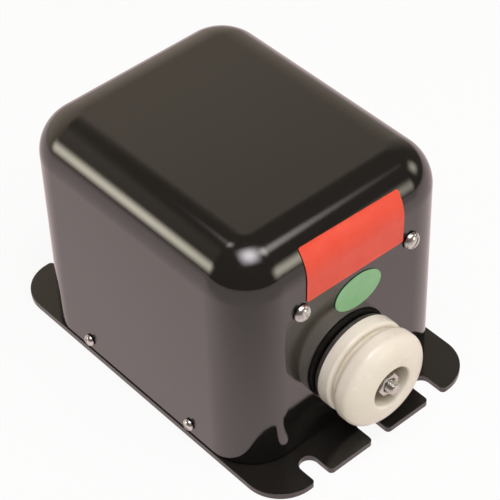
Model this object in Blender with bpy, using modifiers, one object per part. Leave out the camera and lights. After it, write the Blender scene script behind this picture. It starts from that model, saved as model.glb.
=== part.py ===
"""High-voltage ignition transformer.

A deep-drawn steel cover stands on a slotted base plate and is held by four side screws.
One porcelain bushing with a recessed screw terminal comes out of the front face.  Inside, a
shunted shell-type core carries a primary and a secondary winding on its centre leg.

Frame: metres, origin at the centre of the base plate's underside, +Z up, bushing facing -Y.
"""
import math

import bmesh
import bpy
from mathutils import Matrix, Vector

# Clearances
GAP = 0.0003                    # between neighbouring pieces
HOLE_CLEARANCE = 0.0004         # between a shank and the wall of its hole
STICKER_GAP = 0.00015           # under the stuck-on labels

# Drawn cover
CASE_WIDTH = 0.0825
CASE_LENGTH = 0.1004
CASE_HEIGHT = 0.0802
CASE_WALL = 0.0012
CASE_CORNER_RADIUS = 0.0160
CASE_TOP_RADIUS = 0.0142

# Base plate with open-ended mounting slots
PLATE_THICKNESS = 0.0020
PLATE_SIDE_MARGIN = 0.0003
FOOT_LENGTH = 0.0131
FOOT_CORNER_RADIUS = 0.0127
SLOT_SETBACK = 0.01815          # from the plate's side edge to the centre of an outer slot
SLOT_WIDTH = 0.0062
SLOT_DEPTH = 0.0092
SLOT_MOUTH_RADIUS = 0.0014
SLOT_END_SHARE = 0.999          # of half the width, which keeps a slot's two end arcs apart

# Angle brackets that take the cover's side screws
BRACKET_STOCK = 0.0015
BRACKET_HEIGHT = 0.0100
BRACKET_FOOT = 0.0045
BRACKET_END_MARGIN = 0.0030
SIDE_SCREW_FRONT_SETBACK = 0.0261
SIDE_SCREW_REAR_SETBACK = 0.0268
SIDE_SCREW_HEIGHT = 0.0062
SIDE_SCREW_SHANK = 0.00125
SIDE_SCREW_HEAD = 0.0020
SIDE_SCREW_HEAD_HEIGHT = 0.0016
SIDE_SCREW_LENGTH = 0.0040

# Porcelain bushing, measured outwards from the front face along its axis
BUSHING_X = 0.0
BUSHING_HEIGHT = 0.0262
GASKET_THICKNESS = 0.0019
GASKET_RADIUS = 0.0150
NECK_RADIUS = 0.0100
NECK_LENGTH = 0.0100
FLANGE_RADIUS = 0.0155
FLANGE_THICKNESS = 0.0042
FLANGE_EDGE_RADIUS = 0.0012
WAIST_RADIUS = 0.0134
WAIST_LENGTH = 0.0018
KNOB_RADIUS = 0.0159
KNOB_LENGTH = 0.0088
KNOB_REAR_EDGE_RADIUS = 0.0016
NOSE_DEPTH = 0.0048
MOUTH_RADIUS = 0.0068
MOUTH_LIP = 0.0008
RECESS_FLOOR_RADIUS = 0.0062
RECESS_DEPTH = 0.0110
SEAT_RADIUS = 0.0044            # raised seat of the terminal in the recess
SEAT_HEIGHT = 0.0053

# Clamp plate and retaining clip that hold the bushing from inside
CLAMP_STOCK = 0.0015
CLAMP_EDGE = 0.0036
CLAMP_BELOW_AXIS = 0.0145
CLAMP_CORNER_RADIUS = 0.0034
CLIP_STOCK = 0.0016
CLIP_WIDTH = 0.0042
CLIP_GROOVE_DEPTH = 0.0016
CLIP_MOUTH_ANGLE = math.radians(70.0)
FRONT_SCREW_LEFT_SETBACK = 0.02165     # from the cover's own side on each side
FRONT_SCREW_RIGHT_SETBACK = 0.01815
FRONT_SCREW_HEIGHT = 0.0580
FRONT_SCREW_SHANK = 0.0016
FRONT_SCREW_HEAD = 0.0029
FRONT_SCREW_HEAD_HEIGHT = 0.0021
FRONT_SCREW_LENGTH = 0.0060
DRIVE_SLOT_WIDTH = 0.0007
DRIVE_SLOT_DEPTH = 0.0006
DRIVE_SLOT_OVERRUN = 0.0010     # how far a slot's cutter runs past the head

# High-voltage terminal
STUD_RADIUS = 0.0020
STUD_POINT = 0.0004
NUT_FLATS = 0.0070
NUT_THICKNESS = 0.0032
WASHER_RADIUS = 0.0046
WASHER_THICKNESS = 0.0008
NUT_TRAVEL = 0.0024
LUG_STOCK = 0.0008
LUG_RING_RADIUS = 0.0042
LUG_TONGUE_LENGTH = 0.0110
LUG_TONGUE_WIDTH = 0.0036
LEAD_RADIUS = 0.0014
LEAD_SLACK = 0.6                # share of the run that each bend of the lead takes up

# Labels
RED_LABEL_X = 0.0013
RED_LABEL_WIDTH = 0.0374
RED_LABEL_LENGTH = 0.0185       # up the front face and round the top edge
RED_LABEL_DROP = 0.0223         # from the cover's top down to the label's lower edge
RED_LABEL_TURN = math.radians(1.5)
GREEN_LABEL_X = 0.0022
GREEN_LABEL_HEIGHT = 0.0520
GREEN_LABEL_SIZE = (0.0179, 0.0121)
LABEL_STOCK = 0.0002

# Primary lead inlet in the rear face
INLET_HEIGHT = 0.0150
INLET_BORE = 0.0040
INLET_NECK = 0.0060
INLET_FLANGE = 0.0084
INLET_FLANGE_HEIGHT = 0.0022
INLET_BARB = 0.0068
INLET_BARB_LENGTH = 0.0030

# Laminated core
CENTRE_LEG = 0.0220
OUTER_LEG = 0.0110
YOKE = 0.0110
STACK_HEIGHT = 0.0260
CORE_FRONT_CLEARANCE = 0.0045
CORE_REAR_CLEARANCE = 0.0048
SHUNT_LENGTH = 0.0070

# Core frames, clamp bars and bolts
FRAME_STOCK = 0.0015
FRAME_SIDE_CLEARANCE = 0.0007
FRAME_END_MARGIN = 0.0015
BOLT_RADIUS = 0.0020
BOLT_HEAD_FLATS = 0.0070
BOLT_HEAD_HEIGHT = 0.0028
BOLT_END = 0.0012

# Windings
TUBE_WALL = 0.0009
CHEEK_STOCK = 0.0012
WINDING_CORNER_RADIUS = 0.0040

# Facets
FINE_STEPS = 40
SMALL_STEPS = 20
CORNER_STEPS = 8
TOP_EDGE_STEPS = 6
NOSE_STEPS = 6
DOME_STEPS = 4
LEAD_STEPS = 8
LEAD_ROUND_STEPS = 2
LABEL_STEPS = 12
ARC_STEP = math.radians(15.0)
MERGE_DISTANCE = 1e-6

# Levels and planes that follow from the sizes above
PLATE_TOP = PLATE_THICKNESS
COVER_BOTTOM = PLATE_TOP + GAP
COVER_TOP = COVER_BOTTOM + CASE_HEIGHT
FACE_Y = -CASE_LENGTH / 2
REAR_Y = CASE_LENGTH / 2
INNER_X = CASE_WIDTH / 2 - CASE_WALL
INNER_REAR_Y = REAR_Y - CASE_WALL
PLATE_HALF_WIDTH = CASE_WIDTH / 2 + PLATE_SIDE_MARGIN
PLATE_HALF_LENGTH = CASE_LENGTH / 2 + FOOT_LENGTH
SLOT_SPACING = PLATE_HALF_WIDTH - SLOT_SETBACK

# Stations along the bushing axis, positive outwards from the front face
FLANGE_BACK = GAP + GASKET_THICKNESS + GAP
FLANGE_FRONT = FLANGE_BACK + FLANGE_THICKNESS
KNOB_BACK = FLANGE_FRONT + WAIST_LENGTH
KNOB_FRONT = KNOB_BACK + KNOB_LENGTH
RECESS_FLOOR = KNOB_FRONT - RECESS_DEPTH
SEAT_FRONT = RECESS_FLOOR + SEAT_HEIGHT
CLAMP_FRONT = -CASE_WALL - GAP
CLAMP_BACK = CLAMP_FRONT - CLAMP_STOCK
CLIP_FRONT = CLAMP_BACK - GAP
CLIP_BACK = CLIP_FRONT - CLIP_STOCK
BORE_RADIUS = STUD_RADIUS + HOLE_CLEARANCE
NUT_BORE = STUD_RADIUS + GAP
WASHER_FRONT = SEAT_FRONT + GAP + WASHER_THICKNESS
NUT_FRONT = WASHER_FRONT + GAP + NUT_THICKNESS
STUD_FRONT = NUT_FRONT + NUT_TRAVEL
INNER_WASHER_FRONT = -NECK_LENGTH - GAP
INNER_NUT_FRONT = INNER_WASHER_FRONT - WASHER_THICKNESS - GAP
LUG_FRONT = INNER_NUT_FRONT - NUT_THICKNESS - GAP
LEAD_NUT_FRONT = LUG_FRONT - LUG_STOCK - GAP
STUD_BACK = LEAD_NUT_FRONT - NUT_THICKNESS - STUD_RADIUS

# The core fills the room between the brackets, the stud and the rear wall
BRACKET_OUTER_X = INNER_X - GAP
BRACKET_INNER_X = BRACKET_OUTER_X - BRACKET_FOOT
FRAME_OUTER_X = BRACKET_INNER_X - FRAME_SIDE_CLEARANCE
CORE_HALF_WIDTH = FRAME_OUTER_X
CORE_FRONT = FACE_Y - STUD_BACK + CORE_FRONT_CLEARANCE
CORE_REAR = INNER_REAR_Y - CORE_REAR_CLEARANCE
CORE_Z = (PLATE_TOP + COVER_TOP - CASE_WALL) / 2
STACK_BOTTOM = CORE_Z - STACK_HEIGHT / 2
STACK_TOP = CORE_Z + STACK_HEIGHT / 2
LEG_X = CORE_HALF_WIDTH - OUTER_LEG / 2
WINDOW_INNER_X = CENTRE_LEG / 2
WINDOW_OUTER_X = CORE_HALF_WIDTH - OUTER_LEG
WINDOW_FRONT = CORE_FRONT + YOKE + GAP
WINDOW_REAR = CORE_REAR - YOKE
SHUNT_Y = (WINDOW_FRONT + WINDOW_REAR) / 2
BOLT_STATIONS = {"front": CORE_FRONT + YOKE / 2, "rear": CORE_REAR - YOKE / 2}

# Windings sit on the insulating tube, which sits on the centre leg
TUBE_INNER_X = CENTRE_LEG / 2 + GAP
TUBE_INNER_Z = STACK_HEIGHT / 2 + GAP
TUBE_OUTER_X = TUBE_INNER_X + TUBE_WALL
TUBE_OUTER_Z = TUBE_INNER_Z + TUBE_WALL
COIL_INNER_X = TUBE_OUTER_X + GAP
COIL_INNER_Z = TUBE_OUTER_Z + GAP
COIL_BUILD = WINDOW_OUTER_X - GAP - COIL_INNER_X
COIL_OUTER_X = COIL_INNER_X + COIL_BUILD
COIL_OUTER_Z = COIL_INNER_Z + COIL_BUILD

SIDES = {"left": -1, "right": 1}
FRONT_TURN = (math.pi / 2, 0.0, 0.0)      # local +Z points out of the front face


def clear_scene():
    for item in list(bpy.data.objects):
        bpy.data.objects.remove(item, do_unlink=True)


def make_collection(name):
    collection = bpy.data.collections.new(name)
    bpy.context.scene.collection.children.link(collection)
    return collection


clear_scene()
PARTS = make_collection("ignition_transformer")
CUTTERS = make_collection("ignition_transformer_cutters")


def make_material(name, colour, roughness, metallic=0.0):
    material = bpy.data.materials.new(name)
    material.use_nodes = True
    shader = material.node_tree.nodes["Principled BSDF"]
    shader.inputs["Base Color"].default_value = (*colour, 1.0)
    shader.inputs["Roughness"].default_value = roughness
    shader.inputs["Metallic"].default_value = metallic
    return material


BLACK_PAINT = make_material("black_paint", (0.012, 0.011, 0.010), 0.12)
PORCELAIN = make_material("porcelain", (0.78, 0.72, 0.60), 0.22)
GASKET_RUBBER = make_material("gasket_rubber", (0.010, 0.010, 0.010), 0.70)
ZINC = make_material("zinc_plate", (0.62, 0.63, 0.64), 0.28, 1.0)
BRASS = make_material("nickelled_brass", (0.55, 0.56, 0.58), 0.30, 1.0)
RED_PAPER = make_material("red_label", (0.80, 0.10, 0.065), 0.45)
GREEN_PAPER = make_material("green_label", (0.27, 0.55, 0.29), 0.50)
CORE_STEEL = make_material("core_steel", (0.20, 0.20, 0.21), 0.55, 0.8)
FRAME_STEEL = make_material("frame_steel", (0.42, 0.42, 0.43), 0.45, 0.9)
PAPER_BOARD = make_material("paper_board", (0.42, 0.30, 0.16), 0.80)
COPPER = make_material("enamelled_copper", (0.48, 0.18, 0.07), 0.40, 0.6)
WIRE_COAT = make_material("wire_coat", (0.62, 0.05, 0.04), 0.55)
NYLON = make_material("black_nylon", (0.018, 0.018, 0.019), 0.45)


def add_object(name, mesh, material, collection=PARTS):
    item = bpy.data.objects.new(name, mesh)
    collection.objects.link(item)
    if material is not None:
        mesh.materials.append(material)
    return item


def finish_mesh(mesh, smooth_angle=math.radians(40.0)):
    mesh.shade_smooth()
    mesh.set_sharp_from_angle(angle=smooth_angle)


def as_cutter(item):
    item.hide_render = True
    item.display_type = "WIRE"
    return item


def cut(item, cutter):
    """Take the cutter's volume away from the piece."""
    modifier = item.modifiers.new("cut_" + cutter.name, "BOOLEAN")
    modifier.operation = "DIFFERENCE"
    modifier.solver = "EXACT"
    modifier.object = cutter


def arc_points(centre, radius, start, end):
    """Points along an arc, ends included."""
    steps = max(2, math.ceil(abs(end - start) / ARC_STEP - MERGE_DISTANCE))
    angles = [start + (end - start) * i / steps for i in range(steps + 1)]
    return [(centre[0] + radius * math.cos(a), centre[1] + radius * math.sin(a)) for a in angles]


def circle_loop(centre, radius, steps=SMALL_STEPS):
    angles = [2 * math.pi * i / steps for i in range(steps)]
    return [(centre[0] + radius * math.cos(a), centre[1] + radius * math.sin(a)) for a in angles]


def rounded_loop(corners):
    """Closed outline through (x, y, radius) corners, each rounded by its own radius."""
    loop = []
    for i, (x, y, radius) in enumerate(corners):
        here = Vector((x, y))
        if radius <= 0:
            loop.append((x, y))
            continue
        before = (Vector(corners[i - 1][:2]) - here).normalized()
        after = (Vector(corners[(i + 1) % len(corners)][:2]) - here).normalized()
        half = before.angle(after) / 2
        centre = here + (before + after).normalized() * radius / math.sin(half)
        first = here + before * radius / math.tan(half) - centre
        last = here + after * radius / math.tan(half) - centre
        start = math.atan2(first.y, first.x)
        turn = (math.atan2(last.y, last.x) - start + math.pi) % (2 * math.pi) - math.pi
        loop += arc_points(centre, radius, start, start + turn)
    return loop


def rectangle(half_x, half_y, radius=0.0, centre=(0.0, 0.0)):
    x, y = centre
    return rounded_loop([(x - half_x, y - half_y, radius), (x + half_x, y - half_y, radius),
                         (x + half_x, y + half_y, radius), (x - half_x, y + half_y, radius)])


def extruded(name, loops, depth, material, location, rotation=(0.0, 0.0, 0.0)):
    """Flat outline with holes, given thickness along its local Z and centred on its location."""
    curve = bpy.data.curves.new(name + "_outline", "CURVE")
    curve.dimensions = "2D"
    curve.fill_mode = "BOTH"
    curve.extrude = depth / 2
    for loop in loops:
        spline = curve.splines.new("POLY")
        spline.points.add(len(loop) - 1)
        for point, (x, y) in zip(spline.points, loop):
            point.co = (x, y, 0.0, 1.0)
        spline.use_cyclic_u = True
    source = bpy.data.objects.new(name + "_outline", curve)
    PARTS.objects.link(source)
    mesh = bpy.data.meshes.new_from_object(source.evaluated_get(bpy.context.evaluated_depsgraph_get()))
    bpy.data.objects.remove(source, do_unlink=True)
    work = bmesh.new()
    work.from_mesh(mesh)
    bmesh.ops.remove_doubles(work, verts=work.verts, dist=MERGE_DISTANCE)
    bmesh.ops.recalc_face_normals(work, faces=work.faces)
    work.to_mesh(mesh)
    work.free()
    mesh.materials.clear()
    finish_mesh(mesh)
    item = add_object(name, mesh, material)
    item.location = location
    item.rotation_euler = rotation
    return item


def turned(name, profile, material, steps=SMALL_STEPS, closed=False):
    """Turned piece about its local Z.  The profile runs down the outer side, top to bottom."""
    mesh = bpy.data.meshes.new(name)
    edges = [(i, i + 1) for i in range(len(profile) - 1)]
    if closed:
        edges.append((len(profile) - 1, 0))
    mesh.from_pydata([(r, 0.0, z) for r, z in profile], edges, [])
    item = add_object(name, mesh, material)
    screw = item.modifiers.new("turn", "SCREW")
    screw.axis = "Z"
    screw.steps = steps
    screw.render_steps = steps
    screw.use_merge_vertices = True
    screw.merge_threshold = MERGE_DISTANCE
    screw.use_smooth_shade = True
    return item


def ring(name, inner, outer, bottom, top, material, steps=SMALL_STEPS):
    """Plain washer-like ring about its local Z."""
    profile = [(outer, top), (outer, bottom), (inner, bottom), (inner, top)]
    return turned(name, profile, material, steps, closed=True)


def hexagon(flats):
    radius = flats / 2 / math.cos(math.pi / 6)
    return circle_loop((0.0, 0.0), radius, 6)


def hex_nut(name, flats, bore, bottom, top, material):
    """Hexagon nut about its local Z, with its faces at two stations along the axis."""
    item = extruded(name, [hexagon(flats), circle_loop((0.0, 0.0), bore)], top - bottom, material,
                    (0.0, 0.0, (top + bottom) / 2))
    return item


def dome_profile(radius, height):
    """Quarter ellipse from the top of a screw head down to its rim."""
    quarter = [math.pi / 2 * (1 - i / DOME_STEPS) for i in range(DOME_STEPS + 1)]
    return [(radius * math.cos(a), height * math.sin(a)) for a in quarter]


def pan_screw(name, head, head_height, shank, length, material):
    """Pan-head screw: the seat of its head is at local Z = 0 and the head points up."""
    profile = [(0.0 if i == 0 else r, z) for i, (r, z) in enumerate(dome_profile(head, head_height))]
    profile += [(shank, 0.0), (shank, -length + shank / 2), (shank / 2, -length), (0.0, -length)]
    return turned(name, profile, material, SMALL_STEPS)


def slotted_screw(name, head, head_height, shank, length, material):
    """Pan-head screw with a straight slot for the driver across its head."""
    screw = pan_screw(name, head, head_height, shank, length, material)
    slot_length = 2 * (head + DRIVE_SLOT_OVERRUN)
    slot_height = DRIVE_SLOT_DEPTH + DRIVE_SLOT_OVERRUN
    work = bmesh.new()
    bmesh.ops.create_cube(work, size=1.0)
    bmesh.ops.scale(work, vec=(DRIVE_SLOT_WIDTH, slot_length, slot_height), verts=work.verts)
    lift = head_height - DRIVE_SLOT_DEPTH + slot_height / 2
    bmesh.ops.translate(work, vec=(0.0, 0.0, lift), verts=work.verts)
    mesh = bpy.data.meshes.new(name + "_slot")
    work.to_mesh(mesh)
    work.free()
    slot = as_cutter(add_object(name + "_slot", mesh, None, CUTTERS))
    slot.parent = screw
    cut(screw, slot)
    return screw


def cylinder_cutter(work, radius, start, end, steps=SMALL_STEPS):
    """Add a closed cylinder between two points to a cutter mesh."""
    axis = end - start
    turn = axis.to_track_quat("Z", "Y").to_matrix().to_4x4()
    matrix = Matrix.Translation((start + end) / 2) @ turn
    bmesh.ops.create_cone(work, cap_ends=True, segments=steps, radius1=radius, radius2=radius,
                          depth=axis.length, matrix=matrix)


def make_cutter(name, cylinders):
    """One cutter object from (radius, start, end, steps) cylinders that lie clear of each other."""
    work = bmesh.new()
    for radius, start, end, steps in cylinders:
        cylinder_cutter(work, radius, Vector(start), Vector(end), steps)
    mesh = bpy.data.meshes.new(name)
    work.to_mesh(mesh)
    work.free()
    return as_cutter(add_object(name, mesh, None, CUTTERS))


# The bushing and all that is threaded on its stud share one axis out of the front face
bushing_axis = bpy.data.objects.new("bushing_axis", None)
bushing_axis.location = (BUSHING_X, FACE_Y, BUSHING_HEIGHT)
bushing_axis.rotation_euler = FRONT_TURN
PARTS.objects.link(bushing_axis)


def on_bushing_axis(item):
    item.parent = bushing_axis
    return item


def front_screw_places():
    half = CASE_WIDTH / 2
    return {"left": FRONT_SCREW_LEFT_SETBACK - half, "right": half - FRONT_SCREW_RIGHT_SETBACK}


def side_screw_places():
    return {"front": FACE_Y + SIDE_SCREW_FRONT_SETBACK, "rear": REAR_Y - SIDE_SCREW_REAR_SETBACK}


# Base plate: flat steel with three open-ended slots in each foot
def slot_corners(x, y_edge, inward):
    half = SLOT_WIDTH / 2
    y_end = y_edge + inward * SLOT_DEPTH
    end_radius = half * SLOT_END_SHARE
    return [(x - half, y_edge, SLOT_MOUTH_RADIUS), (x - half, y_end, end_radius),
            (x + half, y_end, end_radius), (x + half, y_edge, SLOT_MOUTH_RADIUS)]


def build_base_plate():
    x, y = PLATE_HALF_WIDTH, PLATE_HALF_LENGTH
    slots = [-SLOT_SPACING, 0.0, SLOT_SPACING]
    corners = [(-x, -y, FOOT_CORNER_RADIUS)]
    for place in slots:
        corners += slot_corners(place, -y, 1)
    corners += [(x, -y, FOOT_CORNER_RADIUS), (x, y, FOOT_CORNER_RADIUS)]
    for place in reversed(slots):
        corners += reversed(slot_corners(place, y, -1))
    corners.append((-x, y, FOOT_CORNER_RADIUS))
    return extruded("base_plate", [rounded_loop(corners)], PLATE_THICKNESS, BLACK_PAINT,
                    (0.0, 0.0, PLATE_THICKNESS / 2))


# Cover: a drawn can, rounded along its standing corners and its top edge, open below
def build_cover():
    work = bmesh.new()
    bmesh.ops.create_cube(work, size=1.0)
    bmesh.ops.scale(work, vec=(CASE_WIDTH, CASE_LENGTH, CASE_HEIGHT), verts=work.verts)
    bmesh.ops.translate(work, vec=(0.0, 0.0, COVER_BOTTOM + CASE_HEIGHT / 2), verts=work.verts)
    standing = [e for e in work.edges if abs(e.verts[0].co.z - e.verts[1].co.z) > GAP]
    bmesh.ops.bevel(work, geom=standing, offset=CASE_CORNER_RADIUS, offset_type="OFFSET",
                    segments=CORNER_STEPS, profile=0.5, affect="EDGES")
    rim = [e for e in work.edges if min(v.co.z for v in e.verts) > COVER_TOP - GAP]
    bmesh.ops.bevel(work, geom=rim, offset=CASE_TOP_RADIUS, offset_type="OFFSET",
                    segments=TOP_EDGE_STEPS, profile=0.5, affect="EDGES")
    floor = [f for f in work.faces if max(v.co.z for v in f.verts) < COVER_BOTTOM + GAP]
    bmesh.ops.delete(work, geom=floor, context="FACES_ONLY")
    mesh = bpy.data.meshes.new("cover")
    work.to_mesh(mesh)
    work.free()
    finish_mesh(mesh)
    cover = add_object("cover", mesh, BLACK_PAINT)
    wall = cover.modifiers.new("wall", "SOLIDIFY")
    wall.thickness = CASE_WALL
    wall.offset = -1.0
    wall.use_even_offset = True
    through = CASE_WALL * 4
    holes = [(NECK_RADIUS + HOLE_CLEARANCE, (BUSHING_X, FACE_Y - through, BUSHING_HEIGHT),
              (BUSHING_X, FACE_Y + through, BUSHING_HEIGHT), FINE_STEPS)]
    holes.append((INLET_NECK + HOLE_CLEARANCE, (0.0, REAR_Y - through, INLET_HEIGHT),
                  (0.0, REAR_Y + through, INLET_HEIGHT), SMALL_STEPS))
    for x in front_screw_places().values():
        holes.append((FRONT_SCREW_SHANK + HOLE_CLEARANCE, (x, FACE_Y - through, FRONT_SCREW_HEIGHT),
                      (x, FACE_Y + through, FRONT_SCREW_HEIGHT), SMALL_STEPS))
    for side in SIDES.values():
        for y in side_screw_places().values():
            x = side * CASE_WIDTH / 2
            holes.append((SIDE_SCREW_SHANK + HOLE_CLEARANCE, (x - through, y, SIDE_SCREW_HEIGHT),
                          (x + through, y, SIDE_SCREW_HEIGHT), SMALL_STEPS))
    cut(cover, make_cutter("cover_holes", holes))
    return cover


# Cover brackets: angle strips welded to the plate just inside the cover's sides
def build_cover_bracket(name, side):
    outer, inner = BRACKET_OUTER_X, BRACKET_INNER_X
    upright = outer - BRACKET_STOCK
    bottom = PLATE_TOP + GAP
    outline = [(inner, bottom), (outer, bottom), (outer, bottom + BRACKET_HEIGHT),
               (upright, bottom + BRACKET_HEIGHT), (upright, bottom + BRACKET_STOCK),
               (inner, bottom + BRACKET_STOCK)]
    length = CASE_LENGTH - 2 * (CASE_CORNER_RADIUS + BRACKET_END_MARGIN)
    bracket = extruded(name, [[(side * x, z) for x, z in outline]], length, FRAME_STEEL,
                       (0.0, 0.0, 0.0), FRONT_TURN)
    reach = BRACKET_STOCK * 2
    holes = [(SIDE_SCREW_SHANK + HOLE_CLEARANCE, (side * (outer - reach), y, SIDE_SCREW_HEIGHT),
              (side * (outer + reach), y, SIDE_SCREW_HEIGHT), SMALL_STEPS)
             for y in side_screw_places().values()]
    cut(bracket, make_cutter(name + "_holes", holes))
    return bracket


def build_cover_screws():
    for side_name, side in SIDES.items():
        for end_name, y in side_screw_places().items():
            screw = slotted_screw(f"cover_screw_{side_name}_{end_name}", SIDE_SCREW_HEAD,
                                  SIDE_SCREW_HEAD_HEIGHT, SIDE_SCREW_SHANK, SIDE_SCREW_LENGTH, ZINC)
            screw.location = (side * (CASE_WIDTH / 2 + GAP), y, SIDE_SCREW_HEIGHT)
            screw.rotation_euler = (0.0, side * math.pi / 2, 0.0)


# Bushing: glazed porcelain, turned with a flange, a waist, a round knob and a recessed front
def bushing_profile():
    edge = FLANGE_EDGE_RADIUS
    heel = KNOB_REAR_EDGE_RADIUS
    lip = MOUTH_RADIUS + MOUTH_LIP
    nose = [math.pi / 2 * (1 - i / NOSE_STEPS) for i in range(NOSE_STEPS + 1)]
    profile = [(MOUTH_RADIUS, KNOB_FRONT - MOUTH_LIP / 2)]
    profile += [(lip + (KNOB_RADIUS - lip) * math.cos(a),
                 KNOB_FRONT - NOSE_DEPTH * (1 - math.sin(a))) for a in nose]
    profile += arc_points((KNOB_RADIUS - heel, KNOB_BACK + heel), heel, 0.0, -math.pi / 2)
    profile += [(WAIST_RADIUS, KNOB_BACK), (WAIST_RADIUS, FLANGE_FRONT)]
    profile += arc_points((FLANGE_RADIUS - edge, FLANGE_FRONT - edge), edge, math.pi / 2, 0.0)
    profile += arc_points((FLANGE_RADIUS - edge, FLANGE_BACK + edge), edge, 0.0, -math.pi / 2)
    groove = NECK_RADIUS - CLIP_GROOVE_DEPTH
    profile += [(NECK_RADIUS, FLANGE_BACK), (NECK_RADIUS, CLIP_FRONT + GAP), (groove, CLIP_FRONT + GAP),
                (groove, CLIP_BACK - GAP), (NECK_RADIUS, CLIP_BACK - GAP),
                (NECK_RADIUS, -NECK_LENGTH + edge), (NECK_RADIUS - edge, -NECK_LENGTH)]
    profile += [(BORE_RADIUS, -NECK_LENGTH), (BORE_RADIUS, SEAT_FRONT), (SEAT_RADIUS, SEAT_FRONT),
                (SEAT_RADIUS, RECESS_FLOOR), (RECESS_FLOOR_RADIUS, RECESS_FLOOR)]
    return profile


def build_bushing():
    on_bushing_axis(turned("hv_bushing", bushing_profile(), PORCELAIN, FINE_STEPS, closed=True))
    on_bushing_axis(ring("bushing_gasket", NECK_RADIUS + HOLE_CLEARANCE, GASKET_RADIUS, GAP,
                         GAP + GASKET_THICKNESS, GASKET_RUBBER, FINE_STEPS))


# Clamp plate: behind the front wall, held by the two front screws, carries the bushing's neck
def build_bushing_clamp():
    places = front_screw_places()
    left, right = places["left"] - CLAMP_EDGE, places["right"] + CLAMP_EDGE
    top = FRONT_SCREW_HEIGHT + CLAMP_EDGE
    bottom = BUSHING_HEIGHT - CLAMP_BELOW_AXIS
    half = ((right - left) / 2, (top - bottom) / 2)
    centre = ((right + left) / 2, (top + bottom) / 2)
    loops = [rectangle(*half, CLAMP_CORNER_RADIUS, centre),
             circle_loop((BUSHING_X, BUSHING_HEIGHT), NECK_RADIUS + HOLE_CLEARANCE, FINE_STEPS)]
    loops += [circle_loop((x, FRONT_SCREW_HEIGHT), FRONT_SCREW_SHANK + HOLE_CLEARANCE)
              for x in places.values()]
    extruded("bushing_clamp", loops, CLAMP_STOCK, FRAME_STEEL,
             (0.0, FACE_Y - (CLAMP_FRONT + CLAMP_BACK) / 2, 0.0), FRONT_TURN)


def build_bushing_clip():
    """Open spring clip that sits in the groove of the neck, behind the clamp plate."""
    inner = NECK_RADIUS - CLIP_GROOVE_DEPTH + GAP
    outer = inner + CLIP_WIDTH
    start = -math.pi / 2 + CLIP_MOUTH_ANGLE / 2
    end = start + 2 * math.pi - CLIP_MOUTH_ANGLE
    loop = arc_points((0.0, 0.0), outer, start, end) + arc_points((0.0, 0.0), inner, end, start)
    on_bushing_axis(extruded("bushing_clip", [loop], CLIP_STOCK, ZINC,
                             (0.0, 0.0, (CLIP_FRONT + CLIP_BACK) / 2)))


def build_front_screws():
    for side_name, x in front_screw_places().items():
        screw = slotted_screw(f"front_screw_{side_name}", FRONT_SCREW_HEAD, FRONT_SCREW_HEAD_HEIGHT,
                              FRONT_SCREW_SHANK, FRONT_SCREW_LENGTH, ZINC)
        screw.location = (x, FACE_Y - GAP, FRONT_SCREW_HEIGHT)
        screw.rotation_euler = FRONT_TURN


# Terminal: a stud through the bushing, with a loose nut in the recess and two fixed nuts inside
def build_terminal():
    point = STUD_RADIUS - STUD_POINT
    stud = [(0.0, STUD_FRONT), (point, STUD_FRONT), (STUD_RADIUS, STUD_FRONT - STUD_POINT),
            (STUD_RADIUS, STUD_BACK + STUD_POINT), (point, STUD_BACK), (0.0, STUD_BACK)]
    on_bushing_axis(turned("terminal_stud", stud, BRASS))
    on_bushing_axis(ring("terminal_washer", NUT_BORE, WASHER_RADIUS, SEAT_FRONT + GAP,
                         WASHER_FRONT, BRASS))
    on_bushing_axis(hex_nut("terminal_nut", NUT_FLATS, NUT_BORE, WASHER_FRONT + GAP, NUT_FRONT, BRASS))
    on_bushing_axis(ring("stud_washer", NUT_BORE, WASHER_RADIUS,
                         INNER_WASHER_FRONT - WASHER_THICKNESS, INNER_WASHER_FRONT, BRASS))
    on_bushing_axis(hex_nut("stud_nut", NUT_FLATS, NUT_BORE, INNER_NUT_FRONT - NUT_THICKNESS,
                            INNER_NUT_FRONT, BRASS))
    on_bushing_axis(hex_nut("lead_nut", NUT_FLATS, NUT_BORE, LEAD_NUT_FRONT - NUT_THICKNESS,
                            LEAD_NUT_FRONT, BRASS))


def build_hv_lug():
    """Flat ring lug with a tongue that points up to the winding."""
    half = LUG_TONGUE_WIDTH / 2
    lean = math.asin(half / LUG_RING_RADIUS)
    loop = arc_points((0.0, 0.0), LUG_RING_RADIUS, math.pi / 2 + lean, 2.5 * math.pi - lean)
    loop += [(half, LUG_TONGUE_LENGTH), (-half, LUG_TONGUE_LENGTH)]
    on_bushing_axis(extruded("hv_lug", [loop, circle_loop((0.0, 0.0), NUT_BORE)], LUG_STOCK, BRASS,
                             (0.0, 0.0, LUG_FRONT - LUG_STOCK / 2)))


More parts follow.
